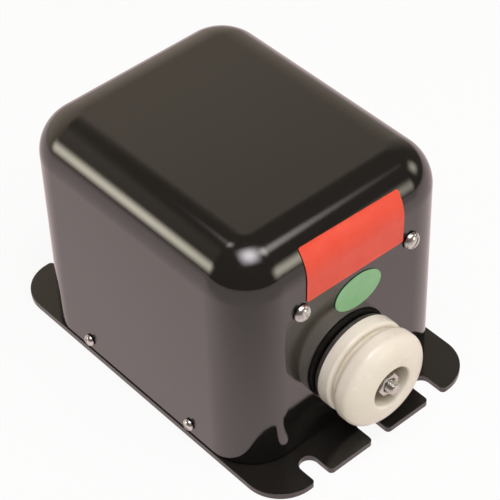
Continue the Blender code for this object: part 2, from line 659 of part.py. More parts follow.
def build_hv_lead():
    """Insulated wire from the lug's tongue, over the front yoke, to the secondary winding."""
    lug_y = FACE_Y - LUG_FRONT + LUG_STOCK / 2
    start = Vector((BUSHING_X, lug_y, BUSHING_HEIGHT + LUG_TONGUE_LENGTH + GAP))
    end_z = (STACK_TOP + CORE_Z + COIL_OUTER_Z) / 2 + LEAD_RADIUS
    end = Vector((0.0, WINDOW_FRONT, end_z))
    curve = bpy.data.curves.new("hv_lead", "CURVE")
    curve.dimensions = "3D"
    curve.bevel_depth = LEAD_RADIUS
    curve.bevel_resolution = LEAD_ROUND_STEPS
    curve.resolution_u = LEAD_STEPS
    curve.use_fill_caps = True
    spline = curve.splines.new("BEZIER")
    spline.bezier_points.add(1)
    rise = (end.z - start.z) * LEAD_SLACK
    run = (end.y - start.y) * LEAD_SLACK
    handles = [(start, Vector((0.0, 0.0, rise))), (end, Vector((0.0, run, 0.0)))]
    for point, (place, pull) in zip(spline.bezier_points, handles):
        point.co = place
        point.handle_left = place - pull
        point.handle_right = place + pull
    item = bpy.data.objects.new("hv_lead", curve)
    PARTS.objects.link(item)
    curve.materials.append(WIRE_COAT)


# Labels: a bare red strip that wraps over the top edge, and a bare green oval
def label_point(across, along, lift):
    """Point of a stuck-on sheet that runs straight up the front face, then round the top edge."""
    bend_start = COVER_TOP - CASE_TOP_RADIUS
    bend = max(0.0, along - bend_start) / CASE_TOP_RADIUS
    radius = CASE_TOP_RADIUS + lift
    y = FACE_Y + CASE_TOP_RADIUS - radius * math.cos(bend)
    z = min(along, bend_start) + radius * math.sin(bend)
    return (across, y, z)


def build_red_label():
    half = RED_LABEL_WIDTH / 2
    middle = COVER_TOP - RED_LABEL_DROP + RED_LABEL_LENGTH / 2
    back, front = STICKER_GAP, STICKER_GAP + LABEL_STOCK
    lean, rise = math.sin(RED_LABEL_TURN), math.cos(RED_LABEL_TURN)
    work = bmesh.new()
    rows = []
    for step in range(LABEL_STEPS + 1):
        height = RED_LABEL_LENGTH * (step / LABEL_STEPS - 0.5)
        row = []
        for side, lift in ((-half, back), (half, back), (half, front), (-half, front)):
            across = RED_LABEL_X + side * rise + height * lean
            along = middle - side * lean + height * rise
            row.append(work.verts.new(label_point(across, along, lift)))
        rows.append(row)
    for lower, upper in zip(rows, rows[1:]):
        for i in range(4):
            j = (i + 1) % 4
            work.faces.new((lower[i], lower[j], upper[j], upper[i]))
    work.faces.new(rows[0])
    work.faces.new(rows[-1])
    bmesh.ops.recalc_face_normals(work, faces=work.faces)
    mesh = bpy.data.meshes.new("red_label")
    work.to_mesh(mesh)
    work.free()
    finish_mesh(mesh)
    add_object("red_label", mesh, RED_PAPER)


def build_green_label():
    half_x, half_z = GREEN_LABEL_SIZE[0] / 2, GREEN_LABEL_SIZE[1] / 2
    oval = [(half_x * x, half_z * z) for x, z in circle_loop((0.0, 0.0), 1.0, FINE_STEPS)]
    extruded("green_label", [oval], LABEL_STOCK, GREEN_PAPER,
             (GREEN_LABEL_X, FACE_Y - STICKER_GAP - LABEL_STOCK / 2, GREEN_LABEL_HEIGHT), FRONT_TURN)


# Inlet for the primary leads: a snap-in bushing in the rear face
def build_lead_inlet():
    barb_front = -CASE_WALL - GAP
    barb_back = barb_front - INLET_BARB_LENGTH
    profile = [(INLET_BORE, GAP + INLET_FLANGE_HEIGHT),
               (INLET_FLANGE - INLET_FLANGE_HEIGHT / 2, GAP + INLET_FLANGE_HEIGHT),
               (INLET_FLANGE, GAP + INLET_FLANGE_HEIGHT / 2), (INLET_FLANGE, GAP), (INLET_NECK, GAP),
               (INLET_NECK, barb_front), (INLET_BARB, barb_front), (INLET_NECK, barb_back),
               (INLET_BORE, barb_back)]
    inlet = turned("lead_inlet", profile, NYLON, closed=True)
    inlet.location = (0.0, REAR_Y, INLET_HEIGHT)
    inlet.rotation_euler = (-math.pi / 2, 0.0, 0.0)


# Core: an E stack with its back at the rear, closed by an I stack at the front
def bolt_places(end_names):
    return [(side * LEG_X, BOLT_STATIONS[end]) for side in SIDES.values() for end in end_names]


def build_core():
    wide, rear = CORE_HALF_WIDTH, CORE_REAR
    outer, inner = WINDOW_OUTER_X, WINDOW_INNER_X
    legs, yoke = WINDOW_FRONT, WINDOW_REAR
    right_half = [(inner, legs), (inner, yoke), (outer, yoke), (outer, legs), (wide, legs), (wide, rear)]
    outline = right_half + [(-x, y) for x, y in reversed(right_half)]
    bolt_hole = BOLT_RADIUS + HOLE_CLEARANCE
    holes = [circle_loop(place, bolt_hole) for place in bolt_places(["rear"])]
    extruded("core_e_stack", [outline] + holes, STACK_HEIGHT, CORE_STEEL, (0.0, 0.0, CORE_Z))
    front_y = CORE_FRONT + YOKE / 2
    holes = [circle_loop(place, bolt_hole) for place in bolt_places(["front"])]
    extruded("core_i_stack", [rectangle(wide, YOKE / 2, 0.0, (0.0, front_y))] + holes, STACK_HEIGHT,
             CORE_STEEL, (0.0, 0.0, CORE_Z))
    shunt_inner, shunt_outer = TUBE_OUTER_X + GAP, WINDOW_OUTER_X - GAP
    middle = (shunt_inner + shunt_outer) / 2
    half = (shunt_outer - shunt_inner) / 2
    for side_name, side in SIDES.items():
        extruded(f"shunt_{side_name}", [rectangle(half, SHUNT_LENGTH / 2, 0.0, (side * middle, SHUNT_Y))],
                 STACK_HEIGHT, CORE_STEEL, (0.0, 0.0, CORE_Z))


# Frames: channels welded to the plate that carry the core's outer legs, with bars on top
def build_core_frames():
    front, rear = CORE_FRONT + FRAME_END_MARGIN, CORE_REAR - FRAME_END_MARGIN
    length, middle = rear - front, (rear + front) / 2
    bottom, top = PLATE_TOP + GAP, STACK_BOTTOM - GAP
    outer, inner = FRAME_OUTER_X, FRAME_OUTER_X - OUTER_LEG
    web = outer - FRAME_STOCK
    outline = [(inner, bottom), (outer, bottom), (outer, top), (inner, top), (inner, top - FRAME_STOCK),
               (web, top - FRAME_STOCK), (web, bottom + FRAME_STOCK), (inner, bottom + FRAME_STOCK)]
    bolt_hole = BOLT_RADIUS + HOLE_CLEARANCE
    for side_name, side in SIDES.items():
        frame = extruded(f"core_frame_{side_name}", [[(side * x, z) for x, z in outline]], length,
                         FRAME_STEEL, (0.0, middle, 0.0), FRONT_TURN)
        places = [(side * LEG_X, y) for y in BOLT_STATIONS.values()]
        reach = FRAME_STOCK * 2
        holes = [(bolt_hole, (x, y, top - reach), (x, y, top + reach), SMALL_STEPS) for x, y in places]
        cut(frame, make_cutter(f"core_frame_{side_name}_holes", holes))
        bar_z = STACK_TOP + GAP + FRAME_STOCK / 2
        loops = [rectangle(OUTER_LEG / 2, length / 2, 0.0, (side * LEG_X, middle))]
        loops += [circle_loop(place, bolt_hole) for place in places]
        extruded(f"core_bar_{side_name}", loops, FRAME_STOCK, FRAME_STEEL, (0.0, 0.0, bar_z))


def build_core_bolts():
    head_seat = STACK_TOP + GAP + FRAME_STOCK + GAP
    nut_top = STACK_BOTTOM - GAP - FRAME_STOCK - GAP
    nut_bottom = nut_top - NUT_THICKNESS
    length = head_seat - nut_bottom + BOLT_END
    hex_radius = BOLT_HEAD_FLATS / 2 / math.cos(math.pi / 6)
    for side_name, side in SIDES.items():
        for end_name, y in BOLT_STATIONS.items():
            bolt = pan_screw(f"core_bolt_{side_name}_{end_name}", hex_radius, BOLT_HEAD_HEIGHT,
                             BOLT_RADIUS, length, ZINC)
            bolt.location = (side * LEG_X, y, head_seat)
            nut = hex_nut(f"core_nut_{side_name}_{end_name}", NUT_FLATS, BOLT_RADIUS + GAP,
                          nut_bottom, nut_top, ZINC)
            nut.location.x = side * LEG_X
            nut.location.y = y


# Windings: both on one insulating tube, the secondary at the front between two cheeks
def rectangular_ring(name, inner, outer, radius, front, rear, material):
    loops = [rectangle(*outer, radius), rectangle(*inner)]
    extruded(name, loops, rear - front, material, (0.0, (front + rear) / 2, CORE_Z), FRONT_TURN)


def build_windings():
    hole = (COIL_INNER_X, COIL_INNER_Z)
    outer = (COIL_OUTER_X, COIL_OUTER_Z)
    shunt_front = SHUNT_Y - SHUNT_LENGTH / 2
    shunt_rear = SHUNT_Y + SHUNT_LENGTH / 2
    rectangular_ring("coil_tube", (TUBE_INNER_X, TUBE_INNER_Z), (TUBE_OUTER_X, TUBE_OUTER_Z), 0.0,
                     WINDOW_FRONT + GAP, WINDOW_REAR - GAP, PAPER_BOARD)
    cheek_front = WINDOW_FRONT + GAP
    cheek_rear = shunt_front - GAP
    rectangular_ring("secondary_cheek_front", hole, outer, WINDING_CORNER_RADIUS, cheek_front,
                     cheek_front + CHEEK_STOCK, PAPER_BOARD)
    rectangular_ring("secondary_cheek_rear", hole, outer, WINDING_CORNER_RADIUS,
                     cheek_rear - CHEEK_STOCK, cheek_rear, PAPER_BOARD)
    rectangular_ring("secondary_winding", hole, outer, WINDING_CORNER_RADIUS,
                     cheek_front + CHEEK_STOCK + GAP, cheek_rear - CHEEK_STOCK - GAP, COPPER)
    rectangular_ring("primary_winding", hole, outer, WINDING_CORNER_RADIUS, shunt_rear + GAP,
                     WINDOW_REAR - GAP, COPPER)


build_base_plate()
for bracket_side, bracket_sign in SIDES.items():
    build_cover_bracket(f"cover_bracket_{bracket_side}", bracket_sign)
build_core()
build_core_frames()
build_core_bolts()
build_windings()
build_bushing_clamp()
build_bushing()
build_bushing_clip()
build_terminal()
build_hv_lug()
build_hv_lead()
build_cover()
build_front_screws()
build_cover_screws()
build_lead_inlet()
build_red_label()
build_green_label()
bpy.context.view_layer.update()
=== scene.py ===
"""Looks of a high-voltage ignition transformer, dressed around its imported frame.

Metres throughout, +Z up, the porcelain bushing facing -Y.  The sections follow the order in
which the real object is put together, from the base plate up to the labels.
"""

import math

import bmesh
import bpy
from mathutils import Matrix, Vector


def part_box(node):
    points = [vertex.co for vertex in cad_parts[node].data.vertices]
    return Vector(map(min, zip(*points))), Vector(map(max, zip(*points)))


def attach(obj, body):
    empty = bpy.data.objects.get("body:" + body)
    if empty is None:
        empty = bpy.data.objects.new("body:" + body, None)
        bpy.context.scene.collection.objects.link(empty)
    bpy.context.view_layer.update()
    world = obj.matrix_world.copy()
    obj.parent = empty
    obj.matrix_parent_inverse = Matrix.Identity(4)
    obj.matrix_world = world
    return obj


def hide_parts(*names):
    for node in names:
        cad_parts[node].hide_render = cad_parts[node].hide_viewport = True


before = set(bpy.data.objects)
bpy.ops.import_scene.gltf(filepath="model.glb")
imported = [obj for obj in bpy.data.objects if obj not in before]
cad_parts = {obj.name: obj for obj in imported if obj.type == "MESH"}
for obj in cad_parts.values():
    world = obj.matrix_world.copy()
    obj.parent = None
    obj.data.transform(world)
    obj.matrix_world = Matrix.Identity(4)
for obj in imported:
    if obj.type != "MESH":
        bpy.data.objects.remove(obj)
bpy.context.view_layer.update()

# Camera
# A long lens looks down on the front left corner from a little over half a metre, as in a
# catalogue picture.  Its place, focal length and slight roll set the case's edges right.
IMAGE_PIXELS = 500
FOCAL_PIXELS = 1955.4
SENSOR_WIDTH = 36.0
CAMERA_AZIMUTH = math.radians(-40.27)
CAMERA_ELEVATION = math.radians(43.80)
CAMERA_ROLL = math.radians(-2.05)
CAMERA_DISTANCE = 0.5875
CAMERA_TARGET = Vector((-0.00101, -0.00725, 0.03976))


def direction(azimuth, elevation):
    """Unit vector; azimuth runs from the bushing's side (-Y) towards +X."""
    level = math.cos(elevation)
    return Vector((math.sin(azimuth) * level, -math.cos(azimuth) * level, math.sin(elevation)))


camera_data = bpy.data.cameras.new("catalogue_camera")
camera_data.sensor_width = SENSOR_WIDTH
camera_data.lens = FOCAL_PIXELS * SENSOR_WIDTH / IMAGE_PIXELS
camera_data.clip_start = 0.01
camera_data.clip_end = 20.0
camera = bpy.data.objects.new("catalogue_camera", camera_data)
bpy.context.scene.collection.objects.link(camera)
back = direction(CAMERA_AZIMUTH, CAMERA_ELEVATION)
level_right = (-back).cross(Vector((0.0, 0.0, 1.0))).normalized()
level_up = level_right.cross(-back)
right = level_right * math.cos(CAMERA_ROLL) + level_up * math.sin(CAMERA_ROLL)
up = level_up * math.cos(CAMERA_ROLL) - level_right * math.sin(CAMERA_ROLL)
camera.matrix_world = (Matrix.Translation(CAMERA_TARGET + back * CAMERA_DISTANCE)
                       @ Matrix((right, up, back)).transposed().to_4x4())
bpy.context.scene.camera = camera

# Base plate
# A flat steel stamping that carries everything.  Three open-ended slots in each foot take the
# mounting screws.  It is dipped in the same black enamel as the cover, and has gathered more dust.
PLATE_SLOT_SETBACK = 0.01815
PLATE_SLOT_WIDTH = 0.0062
PLATE_SLOT_DEPTH = 0.0092
PLATE_SLOT_MOUTH = 0.0014
PLATE_CORNER_RADIUS = 0.0127
PLATE_EDGE_RADIUS = 0.00035
EDGE_STEPS = 3
ARC_STEP = math.radians(5.0)
SHARP_ANGLE = math.radians(35.0)
SLOT_END_SHARE = 0.999
ENAMEL_BLACK = (0.0065, 0.0060, 0.0055)
ENAMEL_DUST = (0.34, 0.31, 0.27)
ENAMEL_IOR = 1.80
ENAMEL_PEEL_SCALE = 1400.0
ENAMEL_PEEL_DEPTH = 0.000012
ENAMEL_SAG_SCALE = 28.0
ENAMEL_SAG_DEPTH = 0.00012
PLATE_DUST_FILM = 0.020
PLATE_GLOSS = (0.12, 0.20)


def add_node(tree, kind, **settings):
    """Add a node; a setting that names an input sets its value, any other sets a property."""
    node = tree.nodes.new(kind)
    for name, value in settings.items():
        label = name.replace("_", " ")
        if label in node.inputs:
            node.inputs[label].default_value = value
        else:
            setattr(node, name, value)
    return node


def new_group(name, inputs, outputs):
    """Empty shader node group with named (name, socket kind) inputs and outputs."""
    tree = bpy.data.node_groups.new(name, "ShaderNodeTree")
    for way, sockets in (("INPUT", inputs), ("OUTPUT", outputs)):
        for socket, kind in sockets:
            tree.interface.new_socket(socket, in_out=way, socket_type="NodeSocket" + kind)
    return tree, tree.nodes.new("NodeGroupInput"), tree.nodes.new("NodeGroupOutput")


def make_mottle():
    """Slow blotches: a value that wanders between Low and High over the surface."""
    tree, given, result = new_group("surface_mottle", [("Place", "Vector"), ("Scale", "Float"),
                                    ("Low", "Float"), ("High", "Float")], [("Value", "Float")])
    noise = add_node(tree, "ShaderNodeTexNoise", Detail=4.0, Roughness=0.6)
    spread = add_node(tree, "ShaderNodeMapRange", From_Min=0.3, From_Max=0.7)
    tree.links.new(given.outputs["Place"], noise.inputs["Vector"])
    tree.links.new(given.outputs["Scale"], noise.inputs["Scale"])
    tree.links.new(noise.outputs["Fac"], spread.inputs["Value"])
    tree.links.new(given.outputs["Low"], spread.inputs["To Min"])
    tree.links.new(given.outputs["High"], spread.inputs["To Max"])
    tree.links.new(spread.outputs["Result"], result.inputs["Value"])
    return tree


def make_grain():
    """Fine bumps over a slow swell, as one height in metres."""
    tree, given, result = new_group("surface_grain", [("Place", "Vector"), ("Fine scale", "Float"),
                                    ("Fine depth", "Float"), ("Slow scale", "Float"),
                                    ("Slow depth", "Float")], [("Height", "Float")])
    heights = []
    for size in ("Fine", "Slow"):
        noise = add_node(tree, "ShaderNodeTexNoise", Detail=2.0, Roughness=0.5)
        tree.links.new(given.outputs["Place"], noise.inputs["Vector"])
        tree.links.new(given.outputs[size + " scale"], noise.inputs["Scale"])
        depth = add_node(tree, "ShaderNodeMath", operation="MULTIPLY")
        tree.links.new(noise.outputs["Fac"], depth.inputs[0])
        tree.links.new(given.outputs[size + " depth"], depth.inputs[1])
        heights.append(depth.outputs[0])
    total = add_node(tree, "ShaderNodeMath", operation="ADD")
    for height, socket in zip(heights, total.inputs):
        tree.links.new(height, socket)
    tree.links.new(total.outputs[0], result.inputs["Height"])
    return tree


def make_dust():
    """Settled dust: a mask on faces that look up, broken into specks and thin film."""
    tree, given, result = new_group("settled_dust", [("Place", "Vector"), ("Speck scale", "Float"),
                                    ("Film", "Float"), ("Specks", "Float")], [("Mask", "Float")])
    normal = add_node(tree, "ShaderNodeNewGeometry")
    split = add_node(tree, "ShaderNodeSeparateXYZ")
    facing = add_node(tree, "ShaderNodeMapRange", From_Min=0.55, From_Max=0.95)
    noise = add_node(tree, "ShaderNodeTexNoise", Detail=3.0)
    specks = add_node(tree, "ShaderNodeMapRange", From_Min=0.68, From_Max=0.76)
    tree.links.new(normal.outputs["Normal"], split.inputs[0])
    tree.links.new(split.outputs["Z"], facing.inputs["Value"])
    tree.links.new(given.outputs["Place"], noise.inputs["Vector"])
    tree.links.new(given.outputs["Speck scale"], noise.inputs["Scale"])
    tree.links.new(noise.outputs["Fac"], specks.inputs["Value"])
    tree.links.new(given.outputs["Specks"], specks.inputs["To Max"])
    total = add_node(tree, "ShaderNodeMath", operation="ADD")
    tree.links.new(specks.outputs["Result"], total.inputs[0])
    tree.links.new(given.outputs["Film"], total.inputs[1])
    mask = add_node(tree, "ShaderNodeMath", operation="MULTIPLY")
    tree.links.new(total.outputs[0], mask.inputs[0])
    tree.links.new(facing.outputs["Result"], mask.inputs[1])
    tree.links.new(mask.outputs[0], result.inputs["Mask"])
    return tree


mottle_group, grain_group, dust_group = make_mottle(), make_grain(), make_dust()


def new_finish(name, **constants):
    """Material with its Principled shader's constant values set, and its object coordinates."""
    material = bpy.data.materials.new(name)
    material.use_nodes = True
    tree = material.node_tree
    shader = tree.nodes["Principled BSDF"]
    for label, value in constants.items():
        shader.inputs[label.replace("_", " ")].default_value = value
    place = add_node(tree, "ShaderNodeTexCoord").outputs["Object"]
    return material, tree, shader, place


def use_group(tree, group, place, **values):
    node = tree.nodes.new("ShaderNodeGroup")
    node.node_tree = group
    tree.links.new(place, node.inputs["Place"])
    for label, value in values.items():
        node.inputs[label.replace("_", " ")].default_value = value
    return node.outputs[0]


def blend_colours(tree, factor, first, second):
    """Colour that goes from the first to the second as the factor rises."""
    mix = add_node(tree, "ShaderNodeMix", data_type="RGBA")
    tree.links.new(factor, mix.inputs["Factor"])
    for label, colour in (("A", first), ("B", second)):
        socket = next(s for s in mix.inputs if s.name == label and s.type == "RGBA")
        if isinstance(colour, tuple):
            socket.default_value = (*colour, 1.0)
        else:
            tree.links.new(colour, socket)
    return next(s for s in mix.outputs if s.type == "RGBA")


def relief(tree, shader, height, strength):
    """Let a height in metres tilt the shader's normal."""
    bump = add_node(tree, "ShaderNodeBump", Strength=strength, Distance=1.0)
    tree.links.new(height, bump.inputs["Height"])
    tree.links.new(bump.outputs["Normal"], shader.inputs["Normal"])


def mottled_finish(name, first, second, patch_scale, gloss_scale, gloss, **constants):
    """Finish whose colour and roughness wander, each between two values."""
    material, tree, shader, place = new_finish(name, **constants)
    patches = use_group(tree, mottle_group, place, Scale=patch_scale, Low=0.0, High=1.0)
    roughness = use_group(tree, mottle_group, place, Scale=gloss_scale, Low=gloss[0], High=gloss[1])
    tree.links.new(blend_colours(tree, patches, first, second), shader.inputs["Base Color"])
    tree.links.new(roughness, shader.inputs["Roughness"])
    return material, tree, shader, place


def add_grain(tree, shader, place, strength, **sizes):
    relief(tree, shader, use_group(tree, grain_group, place, **sizes), strength)


def make_enamel(name, film, gloss):
    """Black enamel under a film of dust, its roughness between two values."""
    material, tree, shader, place = new_finish(name, IOR=ENAMEL_IOR)
    dust = use_group(tree, dust_group, place, Speck_scale=900.0, Film=film, Specks=0.05)
    colour = blend_colours(tree, dust, ENAMEL_BLACK, ENAMEL_DUST)
    roughness = use_group(tree, mottle_group, place, Scale=70.0, Low=gloss[0], High=gloss[1])
    tree.links.new(colour, shader.inputs["Base Color"])
    tree.links.new(roughness, shader.inputs["Roughness"])
    add_grain(tree, shader, place, 0.5, Fine_scale=ENAMEL_PEEL_SCALE, Fine_depth=ENAMEL_PEEL_DEPTH,
              Slow_scale=ENAMEL_SAG_SCALE, Slow_depth=ENAMEL_SAG_DEPTH)
    return material


def arc_points(centre, radius, start, end):
    steps = max(2, math.ceil(abs(end - start) / ARC_STEP))
    angles = [start + (end - start) * i / steps for i in range(steps + 1)]
    return [(centre[0] + radius * math.cos(a), centre[1] + radius * math.sin(a)) for a in angles]


def rounded_outline(corners):
    """Closed outline through (x, y, radius) corners, each rounded by its own radius."""
    outline = []
    for i, (x, y, radius) in enumerate(corners):
        here = Vector((x, y))
        before = (Vector(corners[i - 1][:2]) - here).normalized()
        after = (Vector(corners[(i + 1) % len(corners)][:2]) - here).normalized()
        half = before.angle(after) / 2
        centre = here + (before + after).normalized() * radius / math.sin(half)
        first = here + before * radius / math.tan(half) - centre
        last = here + after * radius / math.tan(half) - centre
        start = math.atan2(first.y, first.x)
        turn = (math.atan2(last.y, last.x) - start + math.pi) % (2 * math.pi) - math.pi
        outline += arc_points(centre, radius, start, start + turn)
    return outline


def skin(work, loops):
    """Faces between each closed loop of vertices and the next."""
    for loop, following in zip(loops, loops[1:]):
        for i in range(len(loop)):
            j = (i + 1) % len(loop)
            work.faces.new((loop[i], loop[j], following[j], following[i]))


def mesh_from(name, work):
    """Close a mesh under construction: merge, point its faces outwards, shade it smooth."""
    bmesh.ops.remove_doubles(work, verts=work.verts, dist=1e-7)
    bmesh.ops.recalc_face_normals(work, faces=work.faces)
    mesh = bpy.data.meshes.new(name)
    work.to_mesh(mesh)
    work.free()
    mesh.shade_smooth()
    mesh.set_sharp_from_angle(angle=SHARP_ANGLE)
    piece = bpy.data.objects.new(name, mesh)
    bpy.context.scene.collection.objects.link(piece)
    return piece


def settle(piece):
    """Turn a piece and its modifiers into one plain mesh."""
    graph = bpy.context.evaluated_depsgraph_get()
    mesh = bpy.data.meshes.new_from_object(piece.evaluated_get(graph))
    piece.modifiers.clear()
    piece.data = mesh
    return piece


def round_edges(piece, radius):
    """Break a piece's sharp edges with a small radius, keeping its flats flat."""
    edge = piece.modifiers.new("edge", "BEVEL")
    edge.width = radius
    edge.segments = EDGE_STEPS
    edge.limit_method = "ANGLE"
    edge.angle_limit = SHARP_ANGLE
    edge.harden_normals = True
    return settle(piece)


def fit(piece, material, body, slot, *nodes):
    """Give a finished piece its material and body, in place of the nodes it stands for; slot is not used.
    """
    piece.data.materials.clear()
    piece.data.materials.append(material)
    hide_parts(*nodes)
    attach(piece, body)
    return piece


plate_low, plate_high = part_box("base_plate")


def slot_corners(x, edge, inward):
    half = PLATE_SLOT_WIDTH / 2
    end = edge + inward * PLATE_SLOT_DEPTH
    return [(x - half, edge, PLATE_SLOT_MOUTH), (x - half, end, half * SLOT_END_SHARE),
            (x + half, end, half * SLOT_END_SHARE), (x + half, edge, PLATE_SLOT_MOUTH)]


def make_plate():
    x, front, rear = plate_high.x, plate_low.y, plate_high.y
    reach = x - PLATE_SLOT_SETBACK
    corners = [(-x, front, PLATE_CORNER_RADIUS)]
    for place in (-reach, 0.0, reach):
        corners += slot_corners(place, front, 1)
    corners += [(x, front, PLATE_CORNER_RADIUS), (x, rear, PLATE_CORNER_RADIUS)]
    for place in (reach, 0.0, -reach):
        corners += reversed(slot_corners(place, rear, -1))
    corners.append((-x, rear, PLATE_CORNER_RADIUS))
    outline = rounded_outline(corners)
    work = bmesh.new()
    loops = [[work.verts.new((px, py, z)) for px, py in outline] for z in (plate_low.z, plate_high.z)]
    for loop in loops:
        work.faces.new(loop)
    skin(work, loops)
    return round_edges(mesh_from("base_plate_enamelled", work), PLATE_EDGE_RADIUS)


plate_enamel = make_enamel("plate_enamel", PLATE_DUST_FILM, PLATE_GLOSS)
fit(make_plate(), plate_enamel, "transformer", "black_paint", "base_plate")

# Core and its frames
# A stack of silicon steel stampings clamped between folded channels and flat bars by four bolts.
# The stampings show their edges as thin stripes; the channels are bare mill-finish steel.
LAMINATION_PITCH = 0.0005
CORE_STEEL_LIGHT = (0.30, 0.30, 0.31)
CORE_STEEL_DARK = (0.10, 0.10, 0.11)
MILL_STEEL_LIGHT = (0.46, 0.45, 0.44)
MILL_STEEL_DARK = (0.33, 0.33, 0.34)


def stripes(tree, place, pitch, axis):
    """Even stripes across one axis, as a value from 0 to 1."""
    wave = add_node(tree, "ShaderNodeTexWave", wave_type="BANDS", bands_direction=axis,
                    wave_profile="SIN", Scale=math.pi / (10.0 * pitch), Distortion=0.0)
    tree.links.new(place, wave.inputs["Vector"])
    return wave.outputs["Fac"]


def make_core_steel():
    material, tree, shader, place = new_finish("laminated_core_steel", Metallic=0.85)
    edges = stripes(tree, place, LAMINATION_PITCH, "Z")
    colour = blend_colours(tree, edges, CORE_STEEL_DARK, CORE_STEEL_LIGHT)
    gloss = use_group(tree, mottle_group, place, Scale=180.0, Low=0.42, High=0.62)
    tree.links.new(colour, shader.inputs["Base Color"])
    tree.links.new(gloss, shader.inputs["Roughness"])
    return material


def make_mill_steel():
    return mottled_finish("mill_finish_steel", MILL_STEEL_DARK, MILL_STEEL_LIGHT, 120.0, 350.0,
                          (0.34, 0.55), Metallic=0.9)[0]


def dress(material, *nodes):
    """Give nodes whose shape is right a better finish."""
    for node in nodes:
        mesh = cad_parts[node].data
        mesh.materials.clear()
        mesh.materials.append(material)


SIDES = ("left", "right")
ENDS = ("front", "rear")
mill_steel = make_mill_steel()
dress(make_core_steel(), "core_e_stack", "core_i_stack", *(f"shunt_{side}" for side in SIDES))
dress(mill_steel, *(f"core_frame_{side}" for side in SIDES), *(f"core_bar_{side}" for side in SIDES))
dress(mill_steel, "cover_bracket_left", "cover_bracket_right", "bushing_clamp")

# Windings
# Enamelled copper wire wound in layers on a paper tube, the fine secondary between two pressed
# board cheeks and the primary behind it.
WIRE_PITCH = 0.0006
COPPER_LIGHT = (0.56, 0.22, 0.08)
COPPER_DARK = (0.24, 0.07, 0.025)
BOARD_LIGHT = (0.47, 0.34, 0.19)
BOARD_DARK = (0.34, 0.23, 0.12)


def make_copper():
    material, tree, shader, place = new_finish("enamelled_copper_wire", Metallic=0.6)
    turns = stripes(tree, place, WIRE_PITCH, "Y")
    colour = blend_colours(tree, turns, COPPER_DARK, COPPER_LIGHT)
    gloss = use_group(tree, mottle_group, place, Scale=160.0, Low=0.28, High=0.44)
    depth = add_node(tree, "ShaderNodeMath", operation="MULTIPLY")
    depth.inputs[1].default_value = WIRE_PITCH / 4
    tree.links.new(turns, depth.inputs[0])
    tree.links.new(colour, shader.inputs["Base Color"])
    tree.links.new(gloss, shader.inputs["Roughness"])
    relief(tree, shader, depth.outputs[0], 1.0)
    return material


def make_board():
    return mottled_finish("pressed_paper_board", BOARD_DARK, BOARD_LIGHT, 700.0, 240.0,
                          (0.72, 0.88))[0]


dress(make_copper(), "primary_winding", "secondary_winding")
dress(make_board(), "coil_tube", "secondary_cheek_front", "secondary_cheek_rear")

# Bushing
# Turned and glazed ivory porcelain: a flange whose thin skirt covers part of the soft black gasket,
# a waist, then a round knob with a deep recess.  Its neck goes through the case wall.
face_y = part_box("cover")[0].y


def stations(node):
    """Back and front of a node along the bushing's axis, counted outwards from the front face."""
    low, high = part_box(node)
    return face_y - high.y, face_y - low.y


def half_width(node):
    low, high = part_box(node)
    return (high.x - low.x) / 2


def seat_of(node):
    """Middle of a node's box."""
    low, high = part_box(node)
    return (low + high) / 2


TURNED_STEPS = 144
NECK_END, KNOB_FRONT = stations("hv_bushing")
KNOB_RADIUS = half_width("hv_bushing")
GASKET_BACK, GASKET_FRONT = stations("bushing_gasket")
GASKET_RADIUS = half_width("bushing_gasket")
GASKET_EDGE = 0.0006
TOUCH_GAP = 0.0003
FLANGE_BACK = GASKET_FRONT + TOUCH_GAP
FLANGE_THICKNESS = 0.0042
FLANGE_FRONT = FLANGE_BACK + FLANGE_THICKNESS
FLANGE_RADIUS = 0.0155
FLANGE_EDGE = 0.0013
SKIRT_BACK = 0.0021
SKIRT_WALL = 0.0004
WAIST_RADIUS = 0.0134
WAIST_FILLET = 0.0006
WAIST_LENGTH = 0.0018
KNOB_BACK = FLANGE_FRONT + WAIST_LENGTH
KNOB_HEEL = 0.0018
NOSE_DEPTH = 0.0048
MOUTH_RADIUS = 0.0068
MOUTH_LIP = 0.0008
RECESS_RADIUS = 0.0062
RECESS_DEPTH = 0.0110
RECESS_FLOOR = KNOB_FRONT - RECESS_DEPTH
RECESS_FILLET = 0.0010
SEAT_RADIUS = 0.0044
SEAT_HEIGHT = 0.0053
SEAT_FRONT = RECESS_FLOOR + SEAT_HEIGHT
SEAT_EDGE = 0.0005
NECK_RADIUS = 0.0100
NECK_CHAMFER = 0.0009
NECK_HOLE = 0.0104
GROOVE_RADIUS = 0.0084
GROOVE_FRONT = -0.0030
GROOVE_BACK = -0.0052
STUD_BORE = 0.0024
bushing_centre = seat_of("hv_bushing")
axis_x, axis_z = bushing_centre.x, bushing_centre.z
GLAZE_IVORY = (0.83, 0.785, 0.670)
GLAZE_CREAM = (0.88, 0.845, 0.740)
GLAZE_SPECK = (0.34, 0.25, 0.16)
# Painted shade: the glaze is darkened down the mouth and in the waist crease.
GLAZE_PAINTED_SHADE = (0.40, 0.34, 0.21)
MOUTH_PAINTED_SHADE = 0.60
WAIST_PAINTED_SHADE = 0.35
PAINTED_SHADE_FADE = 0.0006
RUBBER_BLACK = (0.034, 0.031, 0.027)
RUBBER_BLOOM = (0.080, 0.074, 0.064)


def out_of_front(radius, angle, station):
    """Point about the bushing's axis, its station counted outwards from the front face."""
    return (axis_x + radius * math.cos(angle), face_y - station, axis_z + radius * math.sin(angle))


def turn_on(name, profile, place, steps=TURNED_STEPS):
    """Closed turned ring from a closed (radius, station) profile."""
    work = bmesh.new()
    rings = []
    for i in range(steps):
        angle = 2 * math.pi * i / steps
        rings.append([work.verts.new(place(radius, angle, station)) for radius, station in profile])
    skin(work, rings + rings[:1])
    return mesh_from(name, work)


